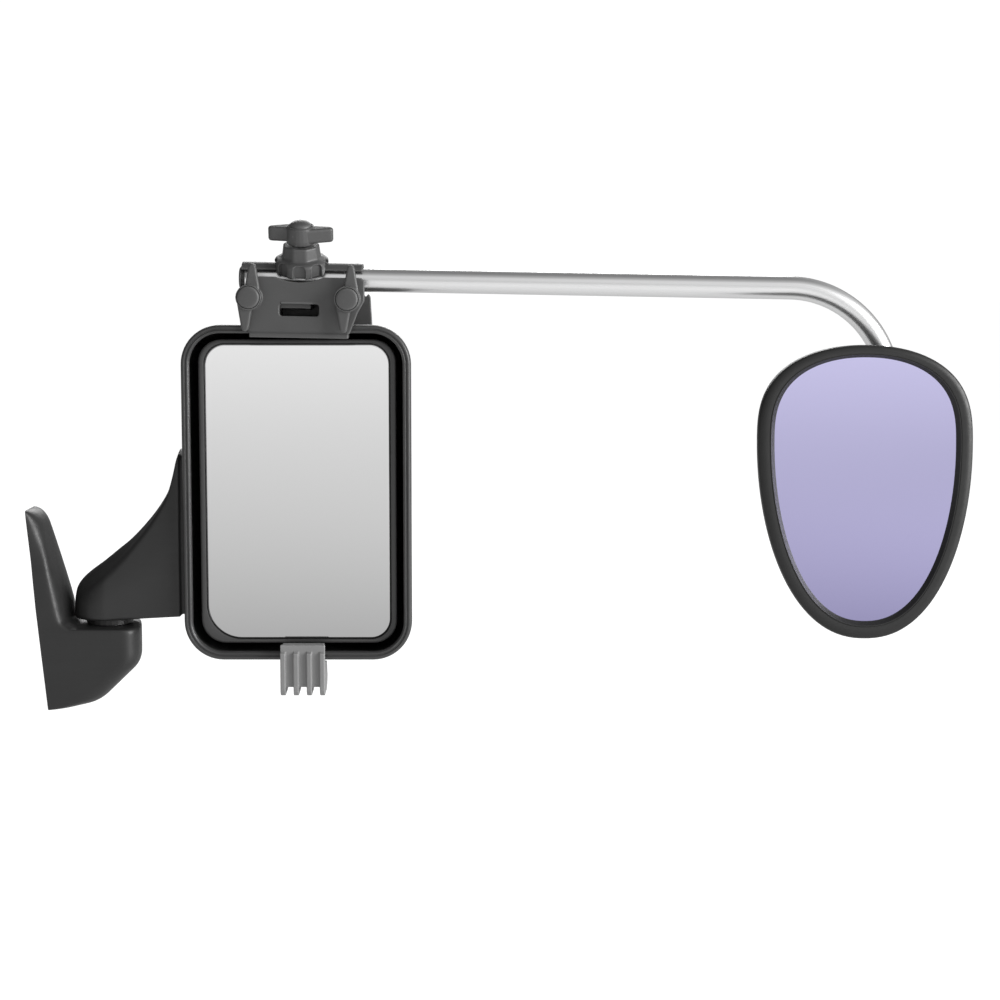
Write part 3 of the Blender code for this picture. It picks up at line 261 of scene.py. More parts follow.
def anodised(name):
    """Satin anodised tube: extrusion lines that follow the bend, and a soft silver tone."""
    surface = Surface(name, 0.3, 1.0)
    along = surface.tree.nodes["Texture Coordinate"].outputs["UV"]
    lines = surface.noise(1, 3, stretch=(260, 4, 1), place=along, roughness=0.6)
    cloud = surface.noise(14, 3)
    tone = surface.mix(surface.scale_range(lines, 0, 1), grey(0.76), (0.82, 0.822, 0.828, 1))
    tone = surface.mix(surface.scale_range(cloud, 0, 0.25), tone, grey(0.74))
    surface.set("Base Color", tone)
    surface.set("Roughness", surface.scale_range(lines, 0.25, 0.36))
    surface.set("Normal", surface.bump(lines, 0.05, 0.03 * MM))
    return surface.material


def painted_reflection_glass(name, node, top, bottom):
    """Polished mirror glass with a film of dust, and a painted reflection in its base colour that
    shades its silver from top to bottom.
    """
    surface = Surface(name, 0.03, 1.0)
    low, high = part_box(node)
    split = surface.node("ShaderNodeSeparateXYZ", {"Vector": surface.place})
    # Painted reflection: the base colour runs from the bottom tone up to the top tone with height,
    # in place of a reflected room.
    height = surface.scale_range(split.outputs["Z"], 0, 1, low[2], high[2])
    tone = surface.ramp(height, ((0.0, bottom), (1.0, top)))
    dust = surface.noise(90, 5, roughness=0.7)
    specks = surface.node("ShaderNodeTexVoronoi", {"Vector": surface.place, "Scale": 420})
    film = surface.scale_range(specks.outputs["Distance"], 0.07, 0.0, 0.0, 0.09)
    surface.set("Base Color", surface.mix(film, tone, grey(0.55)))
    surface.set("Roughness", surface.scale_range(dust, 0.02, 0.06))
    return surface.material


def to_linear(value):
    """The linear value of an sRGB level from 0 to 255."""
    share = value / 255
    return share / 12.92 if share <= 0.04045 else ((share + 0.055) / 1.055) ** 2.4


BLACK = moulded_plastic("black_plastic", 0.017, 0.44, 0.35 * MM, 0.16, specular=0.4)
RIM = moulded_plastic("rim_plastic", 0.036, 0.38, 0.3 * MM, 0.1, 1.5)
HEAD = moulded_plastic("head_plastic", 0.013, 0.42, 0.3 * MM, 0.1, 1.6, 0.36)
GREY = moulded_plastic("grey_plastic", 0.058, 0.46, 0.25 * MM, 0.14, 1.7)
HOOK = moulded_plastic("hook_plastic", 0.19, 0.46, 0.25 * MM, 0.14, 1.4)
RUBBER = rubber("rubber")
ZINC = zinc("zinc_steel")
CAST = cast_metal("cast_metal")
ALUMINIUM = anodised("anodised_aluminium")
# Top and bottom levels of both glasses are painted reflection tones, lighter at the top; the lilac
# hue of the head glass is its tint.
SILVER = painted_reflection_glass("mirror_face", "mirror_glass", to_linear(245), to_linear(176))
LILAC = painted_reflection_glass(
    "tinted_mirror_face", "head_glass",
    tuple(to_linear(v) for v in (213, 209, 247)), tuple(to_linear(v) for v in (146, 142, 178)),
)
SLOT_MATERIAL = {
    "black_plastic": BLACK, "rim_plastic": RIM, "grey_plastic": GREY, "hook_plastic": HOOK,
    "rubber": RUBBER, "zinc_steel": ZINC, "cast_metal": CAST, "anodised_aluminium": ALUMINIUM,
    "mirror_face": SILVER, "tinted_mirror_face": LILAC,
}
NODE_SLOT = {part["node"]: part["material_slot"] for part in frame["record"]["subparts"]}
NODE_BODY = {
    node: body for body, nodes in frame["record"]["behaviour"]["bodies"].items() for node in nodes
}


# Mesh tools

def dress(piece, node, material=None, rides=True):
    """Gives a piece its material, its slot, its body and the CAD node it stands for."""
    piece.data.materials.clear()
    piece.data.materials.append(material or SLOT_MATERIAL[NODE_SLOT[node]])
    if rides:
        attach(piece, NODE_BODY[node])
    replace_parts(piece, node)
    return piece


def outward(bm):
    bmesh.ops.recalc_face_normals(bm, faces=bm.faces)
    if bm.calc_volume(signed=True) < 0:
        bmesh.ops.reverse_faces(bm, faces=bm.faces)


def piece_from(name, bm, sharp=35):
    outward(bm)
    mesh = bpy.data.meshes.new(name)
    bm.to_mesh(mesh)
    bm.free()
    mesh.shade_smooth()
    mesh.set_sharp_from_angle(angle=math.radians(sharp))
    piece = bpy.data.objects.new(name, mesh)
    bpy.context.scene.collection.objects.link(piece)
    return piece


def settle(piece):
    """Applies the piece's modifiers to its mesh."""
    graph = bpy.context.evaluated_depsgraph_get()
    mesh = bpy.data.meshes.new_from_object(piece.evaluated_get(graph))
    old = piece.data
    piece.modifiers.clear()
    piece.data = mesh
    mesh.name = piece.name
    bpy.data.meshes.remove(old)
    return piece


def soften(piece, voxel, rounds):
    """Rebuilds the skin in fine cells and relaxes it, so that every edge is a moulded round."""
    remesh = piece.modifiers.new("skin", "REMESH")
    remesh.mode = "VOXEL"
    remesh.voxel_size = voxel
    remesh.use_smooth_shade = True
    relax = piece.modifiers.new("relax", "SMOOTH")
    relax.factor = 0.5
    relax.iterations = rounds
    settle(piece)
    piece.data.shade_smooth()
    return piece


def boolean(piece, tool, operation):
    modifier = piece.modifiers.new("cut", "BOOLEAN")
    modifier.operation = operation
    modifier.object = tool
    settle(piece)
    bpy.data.objects.remove(tool)
    return piece


def round_edges(piece, width, segments=3, angle=32):
    modifier = piece.modifiers.new("round", "BEVEL")
    modifier.width = width
    modifier.segments = segments
    modifier.limit_method = "ANGLE"
    modifier.angle_limit = math.radians(angle)
    modifier.use_clamp_overlap = True
    settle(piece)
    piece.data.shade_smooth()
    piece.data.set_sharp_from_angle(angle=math.radians(45))
    return piece


def copy_of(node, name=None):
    """A welded copy of a CAD node's mesh with its flat faces merged."""
    bm = bmesh.new()
    bm.from_mesh(frame["nodes"][node].data)
    bmesh.ops.remove_doubles(bm, verts=bm.verts, dist=0.002 * MM)
    bmesh.ops.dissolve_limit(bm, angle_limit=math.radians(0.6), verts=bm.verts, edges=bm.edges)
    return piece_from(name or f"{node}_fine", bm)


def moulded_copy(node, voxel, rounds, material=None):
    return dress(soften(copy_of(node), voxel, rounds), node, material)


def machined_copy(node, width, segments=2, material=None):
    return dress(round_edges(copy_of(node), width, segments), node, material)


def loft(name, rings, looped=False, caps=True, sharp=35):
    """Rings of equally many points joined in order; looped joins the last to the first."""
    bm = bmesh.new()
    rows = [[bm.verts.new(point) for point in ring] for ring in rings]
    count = len(rows[0])
    pairs = list(zip(rows, rows[1:]))
    if looped:
        pairs.append((rows[-1], rows[0]))
    for one, two in pairs:
        for i in range(count):
            j = (i + 1) % count
            bm.faces.new((one[i], one[j], two[j], two[i]))
    if caps and not looped:
        bm.faces.new(rows[0])
        bm.faces.new(rows[-1])
    return piece_from(name, bm, sharp)


def smooth_path(points, steps):
    """A Catmull-Rom curve through tuples of any length."""
    path = []
    last = len(points) - 1
    for i in range(last):
        before, one, two, after = (points[max(0, min(last, k))] for k in (i - 1, i, i + 1, i + 2))
        for step in range(steps):
            t = step / steps
            weights = (
                -0.5 * t + t * t - 0.5 * t ** 3,
                1 - 2.5 * t * t + 1.5 * t ** 3,
                0.5 * t + 2 * t * t - 1.5 * t ** 3,
                -0.5 * t * t + 0.5 * t ** 3,
            )
            rows = zip(before, one, two, after)
            path.append(tuple(sum(w * v for w, v in zip(weights, row)) for row in rows))
    path.append(tuple(points[last]))
    return path


def rounded_profile(points, closed=False, steps=4):
    """Points are (u, v) or (u, v, radius); corners with a radius become curves."""
    result = []
    count = len(points)
    for i, point in enumerate(points):
        radius = point[2] if len(point) > 2 else 0
        here = Vector(point[:2])
        if not radius or (not closed and i in (0, count - 1)):
            result.append(tuple(here))
            continue
        ends = []
        for other in (points[i - 1], points[(i + 1) % count]):
            way = Vector(other[:2]) - here
            ends.append(here + way.normalized() * min(radius, way.length * 0.49))
        for step in range(steps + 1):
            t = step / steps
            spot = ends[0] * (1 - t) ** 2 + here * 2 * t * (1 - t) + ends[1] * t * t
            result.append(tuple(spot))
    return result


def arc(centre, radius, start, end, count):
    spots = []
    for i in range(count + 1):
        angle = math.radians(start + (end - start) * i / count)
        spots.append((centre[0] + radius * math.cos(angle), centre[1] + radius * math.sin(angle)))
    return spots


def rounded_box(centre, size, radii, count=14):
    """A rectangle's outline with round corners, from the top right one round."""
    half_w, half_h = size[0] / 2, size[1] / 2
    spots = []
    for i, (sx, sz) in enumerate(((1, 1), (-1, 1), (-1, -1), (1, -1))):
        radius = max(radii[i], 0.4 * MM)
        corner = (centre[0] + sx * (half_w - radius), centre[1] + sz * (half_h - radius))
        spots += arc(corner, radius, 90 * i, 90 * i + 90, count)
    return spots


def lathe(name, profile, where, steps=72):
    """A profile of (radius, height), from axis to axis, turned about a frame's Z axis."""
    bm = bmesh.new()
    inner = [point for point in profile if point[0] > 0.001 * MM]
    rows = []
    for radius, height in inner:
        row = []
        for i in range(steps):
            angle = 2 * math.pi * i / steps
            spot = Vector((radius * math.cos(angle), radius * math.sin(angle), height))
            row.append(bm.verts.new(where @ spot))
        rows.append(row)
    for one, two in zip(rows, rows[1:]):
        for i in range(steps):
            j = (i + 1) % steps
            bm.faces.new((one[i], one[j], two[j], two[i]))
    for row, end in ((rows[0], profile[0]), (rows[-1], profile[-1])):
        tip = bm.verts.new(where @ Vector((0, 0, end[1])))
        for i in range(steps):
            bm.faces.new((row[i], row[(i + 1) % steps], tip))
    return piece_from(name, bm)


def at_y(outline, y):
    return [(u, y, v) for u, v in outline]


# Door base

DOOR_NORMAL = Vector(frame["record"]["mounts"][0]["axis"])
BASE_LOW, BASE_HIGH = (Vector(corner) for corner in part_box("base_cover"))
BASE_HALF = BASE_HIGH.y
BLOCK_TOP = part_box("detent_ring")[0][2] - 0.3 * MM
BASE_WALL = 3 * MM


def door_x(z):
    """X of the leaning door plane at a height."""
    return -DOOR_NORMAL.z / DOOR_NORMAL.x * z


def base_plan():
    """The block from front to back, as (share of its half depth, how far its side is drawn in)."""
    plan = []
    for step in range(9):
        angle = math.radians(90 * step / 8)
        plan.append((-1 + 0.5 * (1 - math.cos(angle)), 10.5 * (1 - math.sin(angle))))
    plan += [(-0.25, 0.5), (0, 1.4), (0.3, 2.8), (0.6, 4.2)]
    for step in range(1, 5):
        angle = math.radians(90 * (1 - step / 4))
        plan.append((1 - 0.2 * (1 - math.cos(angle)), 8.5 - 3 * math.sin(angle)))
    return plan


def base_block(name, inset):
    low, high = BASE_LOW.z + inset, BLOCK_TOP - inset
    outside = -40 * MM if inset else -6 * MM
    diagonal = 0.7 * inset
    rings = []
    for share, drawn_in in base_plan():
        drawn_in *= MM
        side = BASE_HIGH.x - inset - drawn_in
        slope_x, slope_z = -0.8 * drawn_in - diagonal, 0.45 * drawn_in + diagonal
        top = high - 0.12 * drawn_in
        outline = rounded_profile([
            (door_x(high) + outside, top), (side, top, 3.5 * MM),
            (side, -38 * MM + diagonal, 6 * MM),
            (41.5 * MM + slope_x, -65.5 * MM + slope_z, 8 * MM),
            (16 * MM, low + 0.25 * drawn_in, 8 * MM),
            (door_x(low) + outside, low),
        ], steps=6)
        rings.append(at_y(outline, share * (BASE_HALF - inset)))
    return loft(name, rings)


def fin_half(door, back, reach, ridge, edge, depth):
    """Half of the fin's section: door edge, soft ridge and nose."""
    return rounded_profile([
        (door + back, edge), (door + 0.3 * reach, edge * 0.99, 8 * MM),
        (door + ridge * reach, depth, 11 * MM),
        (door + 0.97 * reach, depth * 0.3, 5 * MM), (door + reach, 0),
    ], steps=6)


def base_fin(name, inset):
    """The upright fin, thinner towards its top and rear: (height, nose, ridge, front, rear)."""
    levels = smooth_path((
        (-30 * MM, 29 * MM, 1, 1, 1), (BLOCK_TOP - 3 * MM, 28 * MM, 1.1, 1, 1),
        (BLOCK_TOP + MM, 24.4 * MM, 0.96, 1, 1), (-9 * MM, 22 * MM, 0.84, 0.99, 0.99),
        (-3 * MM, 21.4 * MM, 0.75, 0.98, 0.98), (6 * MM, 20.2 * MM, 0.7, 0.95, 0.95),
        (31 * MM, 13.2 * MM, 0.69, 0.84, 0.83), (54 * MM, 6.2 * MM, 0.79, 0.64, 0.54),
        (60.5 * MM, 3.8 * MM, 0.85, 0.57, 0.43), (65 * MM, 0.9 * MM, 0.87, 0.5, 0.36),
        (67.4 * MM, -2 * MM, 0.87, 0.45, 0.31), (BASE_HIGH.z, -5 * MM, 0.87, 0.4, 0.26),
    ), 5)
    rings = []
    for z, nose, ridge, front, rear in levels:
        door = door_x(z)
        reach = nose - door - inset
        back = -40 * MM if inset else -6 * MM
        edges = (max(front + 0.03, 0.86), rear + 0.04)
        halves = [
            fin_half(
                door, back, reach, ridge,
                BASE_HALF * min(edge, 1) - inset, BASE_HALF * depth - inset,
            )
            for edge, depth in zip(edges, (front, rear))
        ]
        ring = [(x, -y, z - inset) for x, y in halves[0]]
        ring += [(x, y, z - inset) for x, y in reversed(halves[1][:-1])]
        rings.append(ring)
    return loft(name, rings)


def build_base():
    cover = base_block("base_cover_fine", 0)
    boolean(cover, base_fin("fin", 0), "UNION")
    for hollow in (base_block("block_hollow", BASE_WALL), base_fin("fin_hollow", BASE_WALL)):
        boolean(cover, hollow, "DIFFERENCE")
    hole = [(0, 10 * MM), (13 * MM, 10 * MM), (13 * MM, -10 * MM), (0, -10 * MM)]
    place = Matrix.Translation((PIVOT.x, PIVOT.y, BLOCK_TOP))
    boolean(cover, lathe("pivot_room", hole, place), "DIFFERENCE")
    soften(cover, 0.95 * MM, 7)
    normal = -DOOR_NORMAL
    bm = bmesh.new()
    bm.from_mesh(cover.data)
    everything = list(bm.verts) + list(bm.edges) + list(bm.faces)
    cut = bmesh.ops.bisect_plane(
        bm, geom=everything, plane_co=(0, 0, 0), plane_no=normal, clear_inner=True,
        dist=0.0005 * MM,
    )
    rim = [edge for edge in cut["geom_cut"] if isinstance(edge, bmesh.types.BMEdge)]
    bmesh.ops.triangle_fill(bm, edges=rim, use_beauty=True)
    bm.to_mesh(cover.data)
    bm.free()
    cover.data.shade_smooth()
    cover.data.set_sharp_from_angle(angle=math.radians(50))
    dress(cover, "base_cover")


# Folding arm and housing

RIM_LOW, RIM_HIGH = (Vector(corner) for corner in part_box("rim_bezel"))
HOUSING_SIZE = (RIM_HIGH.x - RIM_LOW.x, RIM_HIGH.z - RIM_LOW.z)
HOUSING_CENTRE = ((RIM_HIGH.x + RIM_LOW.x) / 2, (RIM_HIGH.z + RIM_LOW.z) / 2)
HOUSING_CORNER = 27 * MM
HOUSING_WALL = 2.6 * MM
LOBE = 24.1 * MM
ARM_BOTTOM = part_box("detent_ring")[1][2] + 0.3 * MM


def housing_outline(inset, soft=1.0):
    size = (HOUSING_SIZE[0] - 2 * inset, HOUSING_SIZE[1] - 2 * inset)
    corner = HOUSING_CORNER - inset * soft
    return rounded_box(HOUSING_CENTRE, size, (corner,) * 4)


def build_housing():
    """The shell: (inset, y) steps from the rim to the rounded back, then the inside."""
    steps = (
        (0, -22), (0.5, -14), (1.2, -6), (3, 10), (6, 22), (11, 31), (20, 39), (32, 43.6), (42, 45),
    )
    outside = smooth_path([(inset * MM, y * MM) for inset, y in steps], 4)
    inside = [
        (inset + HOUSING_WALL, max(y - HOUSING_WALL * min(1, inset / (11 * MM)), -22 * MM))
        for inset, y in reversed(outside)
    ]
    rings = [at_y(housing_outline(inset, 0.2), y) for inset, y in reversed(outside)]
    rings += [at_y(housing_outline(inset, 0.2), y) for inset, y in reversed(inside)]
    shell = loft("arm_housing_shell", rings)
    dress(shell, "arm_housing")


def arm_section(x, top, shoulder, front, back, low):
    height = shoulder - low
    lean = min(2.6 * MM, 0.16 * max(height, 0))
    ring = rounded_profile([
        (-front, low, 3 * MM), (back, low, 3 * MM), (back, low + (top - low) * 0.8, 5 * MM),
        (back * 0.5, top, 5 * MM), (-front * 0.25, top, 3.4 * MM),
        (-front + lean, shoulder, 4 * MM),
        (-front, shoulder - max(0.45 * height, 2 * MM), 9 * MM),
    ], closed=True, steps=5)
    return [(x, y, z) for y, z in ring]


def arm_width(away):
    """How far the arm reaches to the front and to the back of its middle plane."""
    if away < 0:
        depth = math.sqrt(max(LOBE ** 2 - away ** 2, (5 * MM) ** 2))
        return depth, depth
    share = min(1, away / (50 * MM))
    return LOBE - 3.6 * MM * (1 - (1 - share) ** 2), LOBE - 4.5 * MM * share


def build_arm():
    """Sections of the arm: (way from the pivot, top, shoulder), growing into the housing's side."""
    shape = smooth_path((
        (-24.1, 5.5, -1), (-22.4, 12.8, 3.5), (-18.3, 18.8, 7.6), (-11.8, 24.7, 12.4),
        (-2.4, 31.6, 19),
        (7.2, 39.4, 28), (17.6, 48, 40), (29.5, 60.8, 55), (38.4, 72.6, 68.6),
        (44.2, 83.2, 79.6), (47.9, 95.7, 92.2), (50.2, 106, 102), (52.2, 111, 106.6),
    ), 5)
    rings = []
    for away, top, shoulder in shape:
        away *= MM
        front, back = arm_width(away)
        low = ARM_BOTTOM + 2.6 * MM * max(0, away / (55 * MM))
        rings.append(arm_section(PIVOT.x + away, top * MM, shoulder * MM, front, back, low))
    away, top, shoulder = (value * MM for value in shape[-1])
    front, back = arm_width(away)
    low = ARM_BOTTOM + 2.6 * MM
    groove = 1.5 * MM
    for step in (0.5 * MM, 4.4 * MM):
        rings.append(arm_section(
            PIVOT.x + away + step, top - groove, shoulder - groove, front - groove, back - groove,
            low + groove,
        ))
    arm = loft("arm_housing_arm", rings)
    hole = [(0, 15 * MM), (6.3 * MM, 15 * MM), (6.3 * MM, -20 * MM), (0, -20 * MM)]
    place = Matrix.Translation((PIVOT.x, PIVOT.y, ARM_BOTTOM))
    boolean(arm, lathe("shaft_room", hole, place), "DIFFERENCE")
    dress(soften(arm, 0.75 * MM, 5), "arm_housing")


def build_rim():
    """The rim's section, (inset, y): a flat bead, a fine groove and a rolled inner edge."""
    front, back = RIM_LOW.y, RIM_HIGH.y
    section = rounded_profile([
        (0, back), (0, front + 1.5 * MM, 1.2 * MM), (1.2 * MM, front, 1 * MM),
        (2.5 * MM, front, 0.3 * MM), (2.8 * MM, front + 0.8 * MM, 0.3 * MM),
        (3.5 * MM, front + 0.8 * MM, 0.3 * MM), (3.8 * MM, front + 0.1 * MM, 0.3 * MM),
        (4.8 * MM, front + 0.1 * MM, 0.6 * MM), (5.6 * MM, front + 1.3 * MM, 0.6 * MM),
        (5.6 * MM, back),
    ], closed=True)
    rings = [at_y(housing_outline(inset), y) for inset, y in section]
    dress(loft("rim_bezel_fine", rings, looped=True), "rim_bezel")


# Main glass

GLASS_LOW, GLASS_HIGH = (Vector(corner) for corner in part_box("mirror_glass"))
CARRIER_LOW, CARRIER_HIGH = (Vector(corner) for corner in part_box("glass_carrier"))
GLASS_CORNERS = (14 * MM, 14 * MM, 24 * MM, 14 * MM)


def box_outline(low, high, inset, radii):
    size = (high.x - low.x - 2 * inset, high.z - low.z - 2 * inset)
    centre = ((high.x + low.x) / 2, (high.z + low.z) / 2)
    return rounded_box(centre, size, [radius - inset for radius in radii])


def build_main_glass():
    front, back = GLASS_LOW.y, GLASS_HIGH.y
    section = rounded_profile([
        (0.5 * MM, back), (0, back - 0.5 * MM), (0, front + 0.7 * MM, 0.2 * MM),
        (0.9 * MM, front, 0.3 * MM), (1.6 * MM, front),
    ])
    rings = [
        at_y(box_outline(GLASS_LOW, GLASS_HIGH, inset, GLASS_CORNERS), y) for inset, y in section
    ]
    dress(loft("mirror_glass_fine", rings), "mirror_glass")

    front, back = CARRIER_LOW.y, CARRIER_HIGH.y
    outer = (16 * MM, 16 * MM, 17 * MM, 16 * MM)
    rings = []
    shared = (
        (6 * MM, back - 2.1 * MM), (5.8 * MM, back), (0.8 * MM, back), (0, back - 0.8 * MM),
        (0, front + 1.3 * MM), (0.25 * MM, front + 0.5 * MM), (0.9 * MM, front + 0.05 * MM),
        (1.6 * MM, front), (2.5 * MM, front),
    )
    for inset, y in shared:
        rings.append(at_y(box_outline(CARRIER_LOW, CARRIER_HIGH, inset, outer), y))
    for grow, y in ((0.7, front + 0.25 * MM), (0.4, front + 0.9 * MM), (0.3, front + 3.9 * MM)):
        rings.append(at_y(box_outline(GLASS_LOW, GLASS_HIGH, -grow * MM, GLASS_CORNERS), y))
    dress(loft("glass_carrier_fine", rings), "glass_carrier")


# Towing clamp

def build_clamp():
    moulded_copy("clamp_saddle", 0.6 * MM, 3)
    moulded_copy("front_plate", 0.45 * MM, 3)
    moulded_copy("rear_jaw", 0.6 * MM, 4)
    moulded_copy("top_knob", 0.38 * MM, 3)
    for side in ("left", "right"):
        moulded_copy(f"wing_knob_{side}", 0.38 * MM, 3)
        machined_copy(f"rear_pad_{side}", 0.7 * MM, 3)
        machined_copy(f"jaw_nut_{side}", 0.4 * MM)
    build_plate_bead()
    moulded_copy("strap_yoke", 0.45 * MM, 3)
    machined_copy("front_pad", 0.6 * MM, 3)
    machined_copy("strap_pin", 0.5 * MM, 3)
    machined_copy("grip_sleeve", 0.25 * MM)
    machined_copy("pressure_pad", 0.4 * MM)


def build_plate_bead():
    """A fine raised bead over the slot of the front plate."""
    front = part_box("front_pad")[0][1] - 4.3 * MM
    height, half = -16.1 * MM, 11.2 * MM
    section = rounded_profile([
        (0.4 * MM, -0.9 * MM), (-0.7 * MM, -0.5 * MM, 0.3 * MM), (-0.7 * MM, 0.1 * MM, 0.3 * MM),
        (0.4 * MM, 1.2 * MM),
    ], closed=True)
    rings = []
    for along, share in ((-half, 0.3), (-half + 0.6 * MM, 1), (half - 0.6 * MM, 1), (half, 0.3)):
        base = CLAMP @ Vector((along, 0, height))
        rings.append([
            (base.x, front + v * share + 0.3 * MM * (1 - share), base.z + w) for v, w in section
        ])
    dress(loft("front_plate_bead", rings), "front_plate")


BELL_FACETS = 9


def build_bell():
    """The bell under the top knob: (height, radius, how flat) levels, then notches and bores."""
    count = BELL_FACETS
    levels = (
        (5.9, 18.1, 0), (6.4, 18.5, 0), (13.4, 18.5, 0), (14.6, 17.9, 0), (15.4, 16.4, 0.1),
        (16, 14.5, 0.8), (16.5, 13.6, 1), (17.2, 13.3, 1), (24.4, 12.35, 1), (24.9, 12.0, 1),
        (25, 11.6, 1),
    )
    steps = 16 * count
    rings = []
    for height, radius, flat in levels:
        ring = []
        for i in range(steps):
            angle = 2 * math.pi * i / steps
            part = (angle + math.pi / 2 + math.pi / count) % (2 * math.pi / count) - math.pi / count
            facet = math.cos(math.pi / count) / math.cos(part) * 1.02
            reach = radius * (1 - flat + flat * min(facet, 1)) * MM
            spot = Vector((reach * math.cos(angle), reach * math.sin(angle), height * MM))
            ring.append(KNOB @ spot)
        rings.append(ring)
    bell = loft("pressure_bell_fine", rings)
    for i in range(count):
        angle = 2 * math.pi * i / count - math.pi / 2
        turn = KNOB @ Matrix.Rotation(angle, 4, "Z")
        outline = rounded_profile([
            (-4.1 * MM, 3 * MM), (4.1 * MM, 3 * MM), (4.1 * MM, 14.9 * MM, 3 * MM),
            (-4.1 * MM, 14.9 * MM, 3 * MM),
        ], closed=True)
        notch = loft(f"notch_{i}", [
            [turn @ Vector((depth, u, v)) for u, v in outline] for depth in (16.2 * MM, 24 * MM)
        ])
        boolean(bell, notch, "DIFFERENCE")
    bore = [
        (0, 30 * MM), (4.6 * MM, 30 * MM), (4.6 * MM, 16.4 * MM), (6.6 * MM, 16.4 * MM),
        (6.6 * MM, 0), (0, 0),
    ]
    boolean(bell, lathe("bell_bore", bore, KNOB), "DIFFERENCE")
    room = [(0, 40 * MM), (11.5 * MM, 40 * MM), (11.5 * MM, -40 * MM), (0, -40 * MM)]
    boolean(bell, lathe("sleeve_room", room, CLAMP @ TURN_X), "DIFFERENCE")
    dress(soften(bell, 0.42 * MM, 2), "pressure_bell")


CAP_RADIUS = 7.5 * MM
TOP_CAP_CROWN = 41.6 * MM


def build_caps():
    """Domed caps over the three knobs' screws."""
    crown = TOP_CAP_CROWN
    dome = [
        (0, crown), (2.4 * MM, crown - 0.15 * MM), (4.4 * MM, crown - 0.6 * MM),
        (5.9 * MM, crown - 1.25 * MM), (6.9 * MM, crown - 2 * MM), (7.4 * MM, crown - 2.9 * MM),
        (CAP_RADIUS, crown - 3.4 * MM), (CAP_RADIUS, crown - 4.3 * MM), (0, crown - 4.3 * MM),
    ]
    dress(lathe("top_cap_fine", dome, KNOB), "top_cap")
    for side in ("left", "right"):
        node = f"wing_cap_{side}"
        low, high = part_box(node)
        depth = high[1] - low[1]
        seat = Vector((centre_of(node).x, high[1], centre_of(node).z))
        face = [
            (0, depth), (4 * MM, depth - 0.08 * MM), (6 * MM, depth - 0.2 * MM),
            (6.8 * MM, depth - 0.42 * MM), (7.3 * MM, depth - 0.85 * MM),
            (CAP_RADIUS, depth - 1.4 * MM), (CAP_RADIUS, 0), (0, 0),
        ]
        dress(lathe(f"{node}_fine", face, Matrix.Translation(seat) @ TO_VIEWER), node)


def threaded_rod(node, start, end, axis_frame, radius, pitch, plain):
    """A rod along a frame's Z axis, plain at first and then cut with a thread."""
    sides, per_turn = 20, 6
    depth = 0.32 * pitch
    rings = []
    height = start
    while height <= end:
        ring = []
        for i in range(sides):
            angle = 2 * math.pi * i / sides
            phase = (height / pitch - i / sides) % 1
            groove = depth * abs(2 * phase - 1) if height > start + plain else 0
            chamfer = min(1.0, (end - height) / (1.2 * MM) * 0.3 + 0.7)
            reach = (radius - groove) * chamfer
            spot = Vector((reach * math.cos(angle), reach * math.sin(angle), height))
            ring.append(axis_frame @ spot)
        rings.append(ring)
        height += pitch / per_turn if height >= start + plain - pitch else plain - pitch
    dress(loft(f"{node}_fine", rings, sharp=60), node)


SCREW_RADIUS = 2.5 * MM
SCREW_PITCH = 1 * MM


def build_rods():
    for side in ("left", "right"):
        node = f"clamp_screw_{side}"
        low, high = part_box(node)
        centre = centre_of(node)
        seat = Matrix.Translation((centre.x, low[1], centre.z))
        start = seat @ TO_VIEWER @ Matrix.Rotation(math.pi, 4, "X")
        length = high[1] - low[1]
        threaded_rod(node, 0, length, start, SCREW_RADIUS, SCREW_PITCH, 22 * MM)


# Strap and hook

STRAP_BEND = 38 * MM
STRAP_TURN = (4 * MM, -38.5 * MM)


def build_strap():
    """A ribbed rubber band swept along a path of (y, z) behind and under the housing."""
    low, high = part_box("strap")
    middle = (low[0] + high[0]) / 2
    half = (high[0] - low[0]) / 2
    back = high[1] - 1.6 * MM
    top = high[2] - 0.4 * MM
    path = [(back - 4.8 * MM, top), (back - 1.4 * MM, top - 17.6 * MM), (back, top - 34.6 * MM)]
    path += [(back, top - 34.6 * MM - i * 30 * MM) for i in range(1, 6)]
    path += arc((back - STRAP_BEND, 4 * MM), STRAP_BEND, -12, -66, 6)
    path += [STRAP_TURN, (low[1] + 0.5 * MM, -45.6 * MM)]
    line = smooth_path(path, 8)
    count = 48
    rings = []
    for i, (y, z) in enumerate(line):
        before, after = line[max(i - 1, 0)], line[min(i + 1, len(line) - 1)]
        way = Vector((after[0] - before[0], after[1] - before[1])).normalized()
        side = Vector((-way.y, way.x))
        ring = []
        for k in range(count):
            angle = 2 * math.pi * k / count
            across = math.copysign(abs(math.cos(angle)) ** 0.55, math.cos(angle))
            thick = math.copysign(abs(math.sin(angle)) ** 0.45, math.sin(angle))
            rib = 1 - 0.16 * (0.5 + 0.5 * math.cos(across * math.pi * 5))
            offset = thick * 1.55 * MM * rib
            ring.append((middle + across * half, y + side.x * offset, z + side.y * offset))
        rings.append(ring)
    strap = loft("strap_band", rings, sharp=70)
    dress(strap, "strap", rides=False)
    return strap, Vector((middle, back, top - 20 * MM)), Vector((middle, *STRAP_TURN))


def build_hook():
    moulded_copy("strap_hook", 0.36 * MM, 3)


# Towing arm and head

TUBE_RADIUS = 8 * MM
TUBE_WALL = 1.5 * MM
SWIVEL = joint_point("head_pan")
BEND_RADIUS = 70.6 * MM


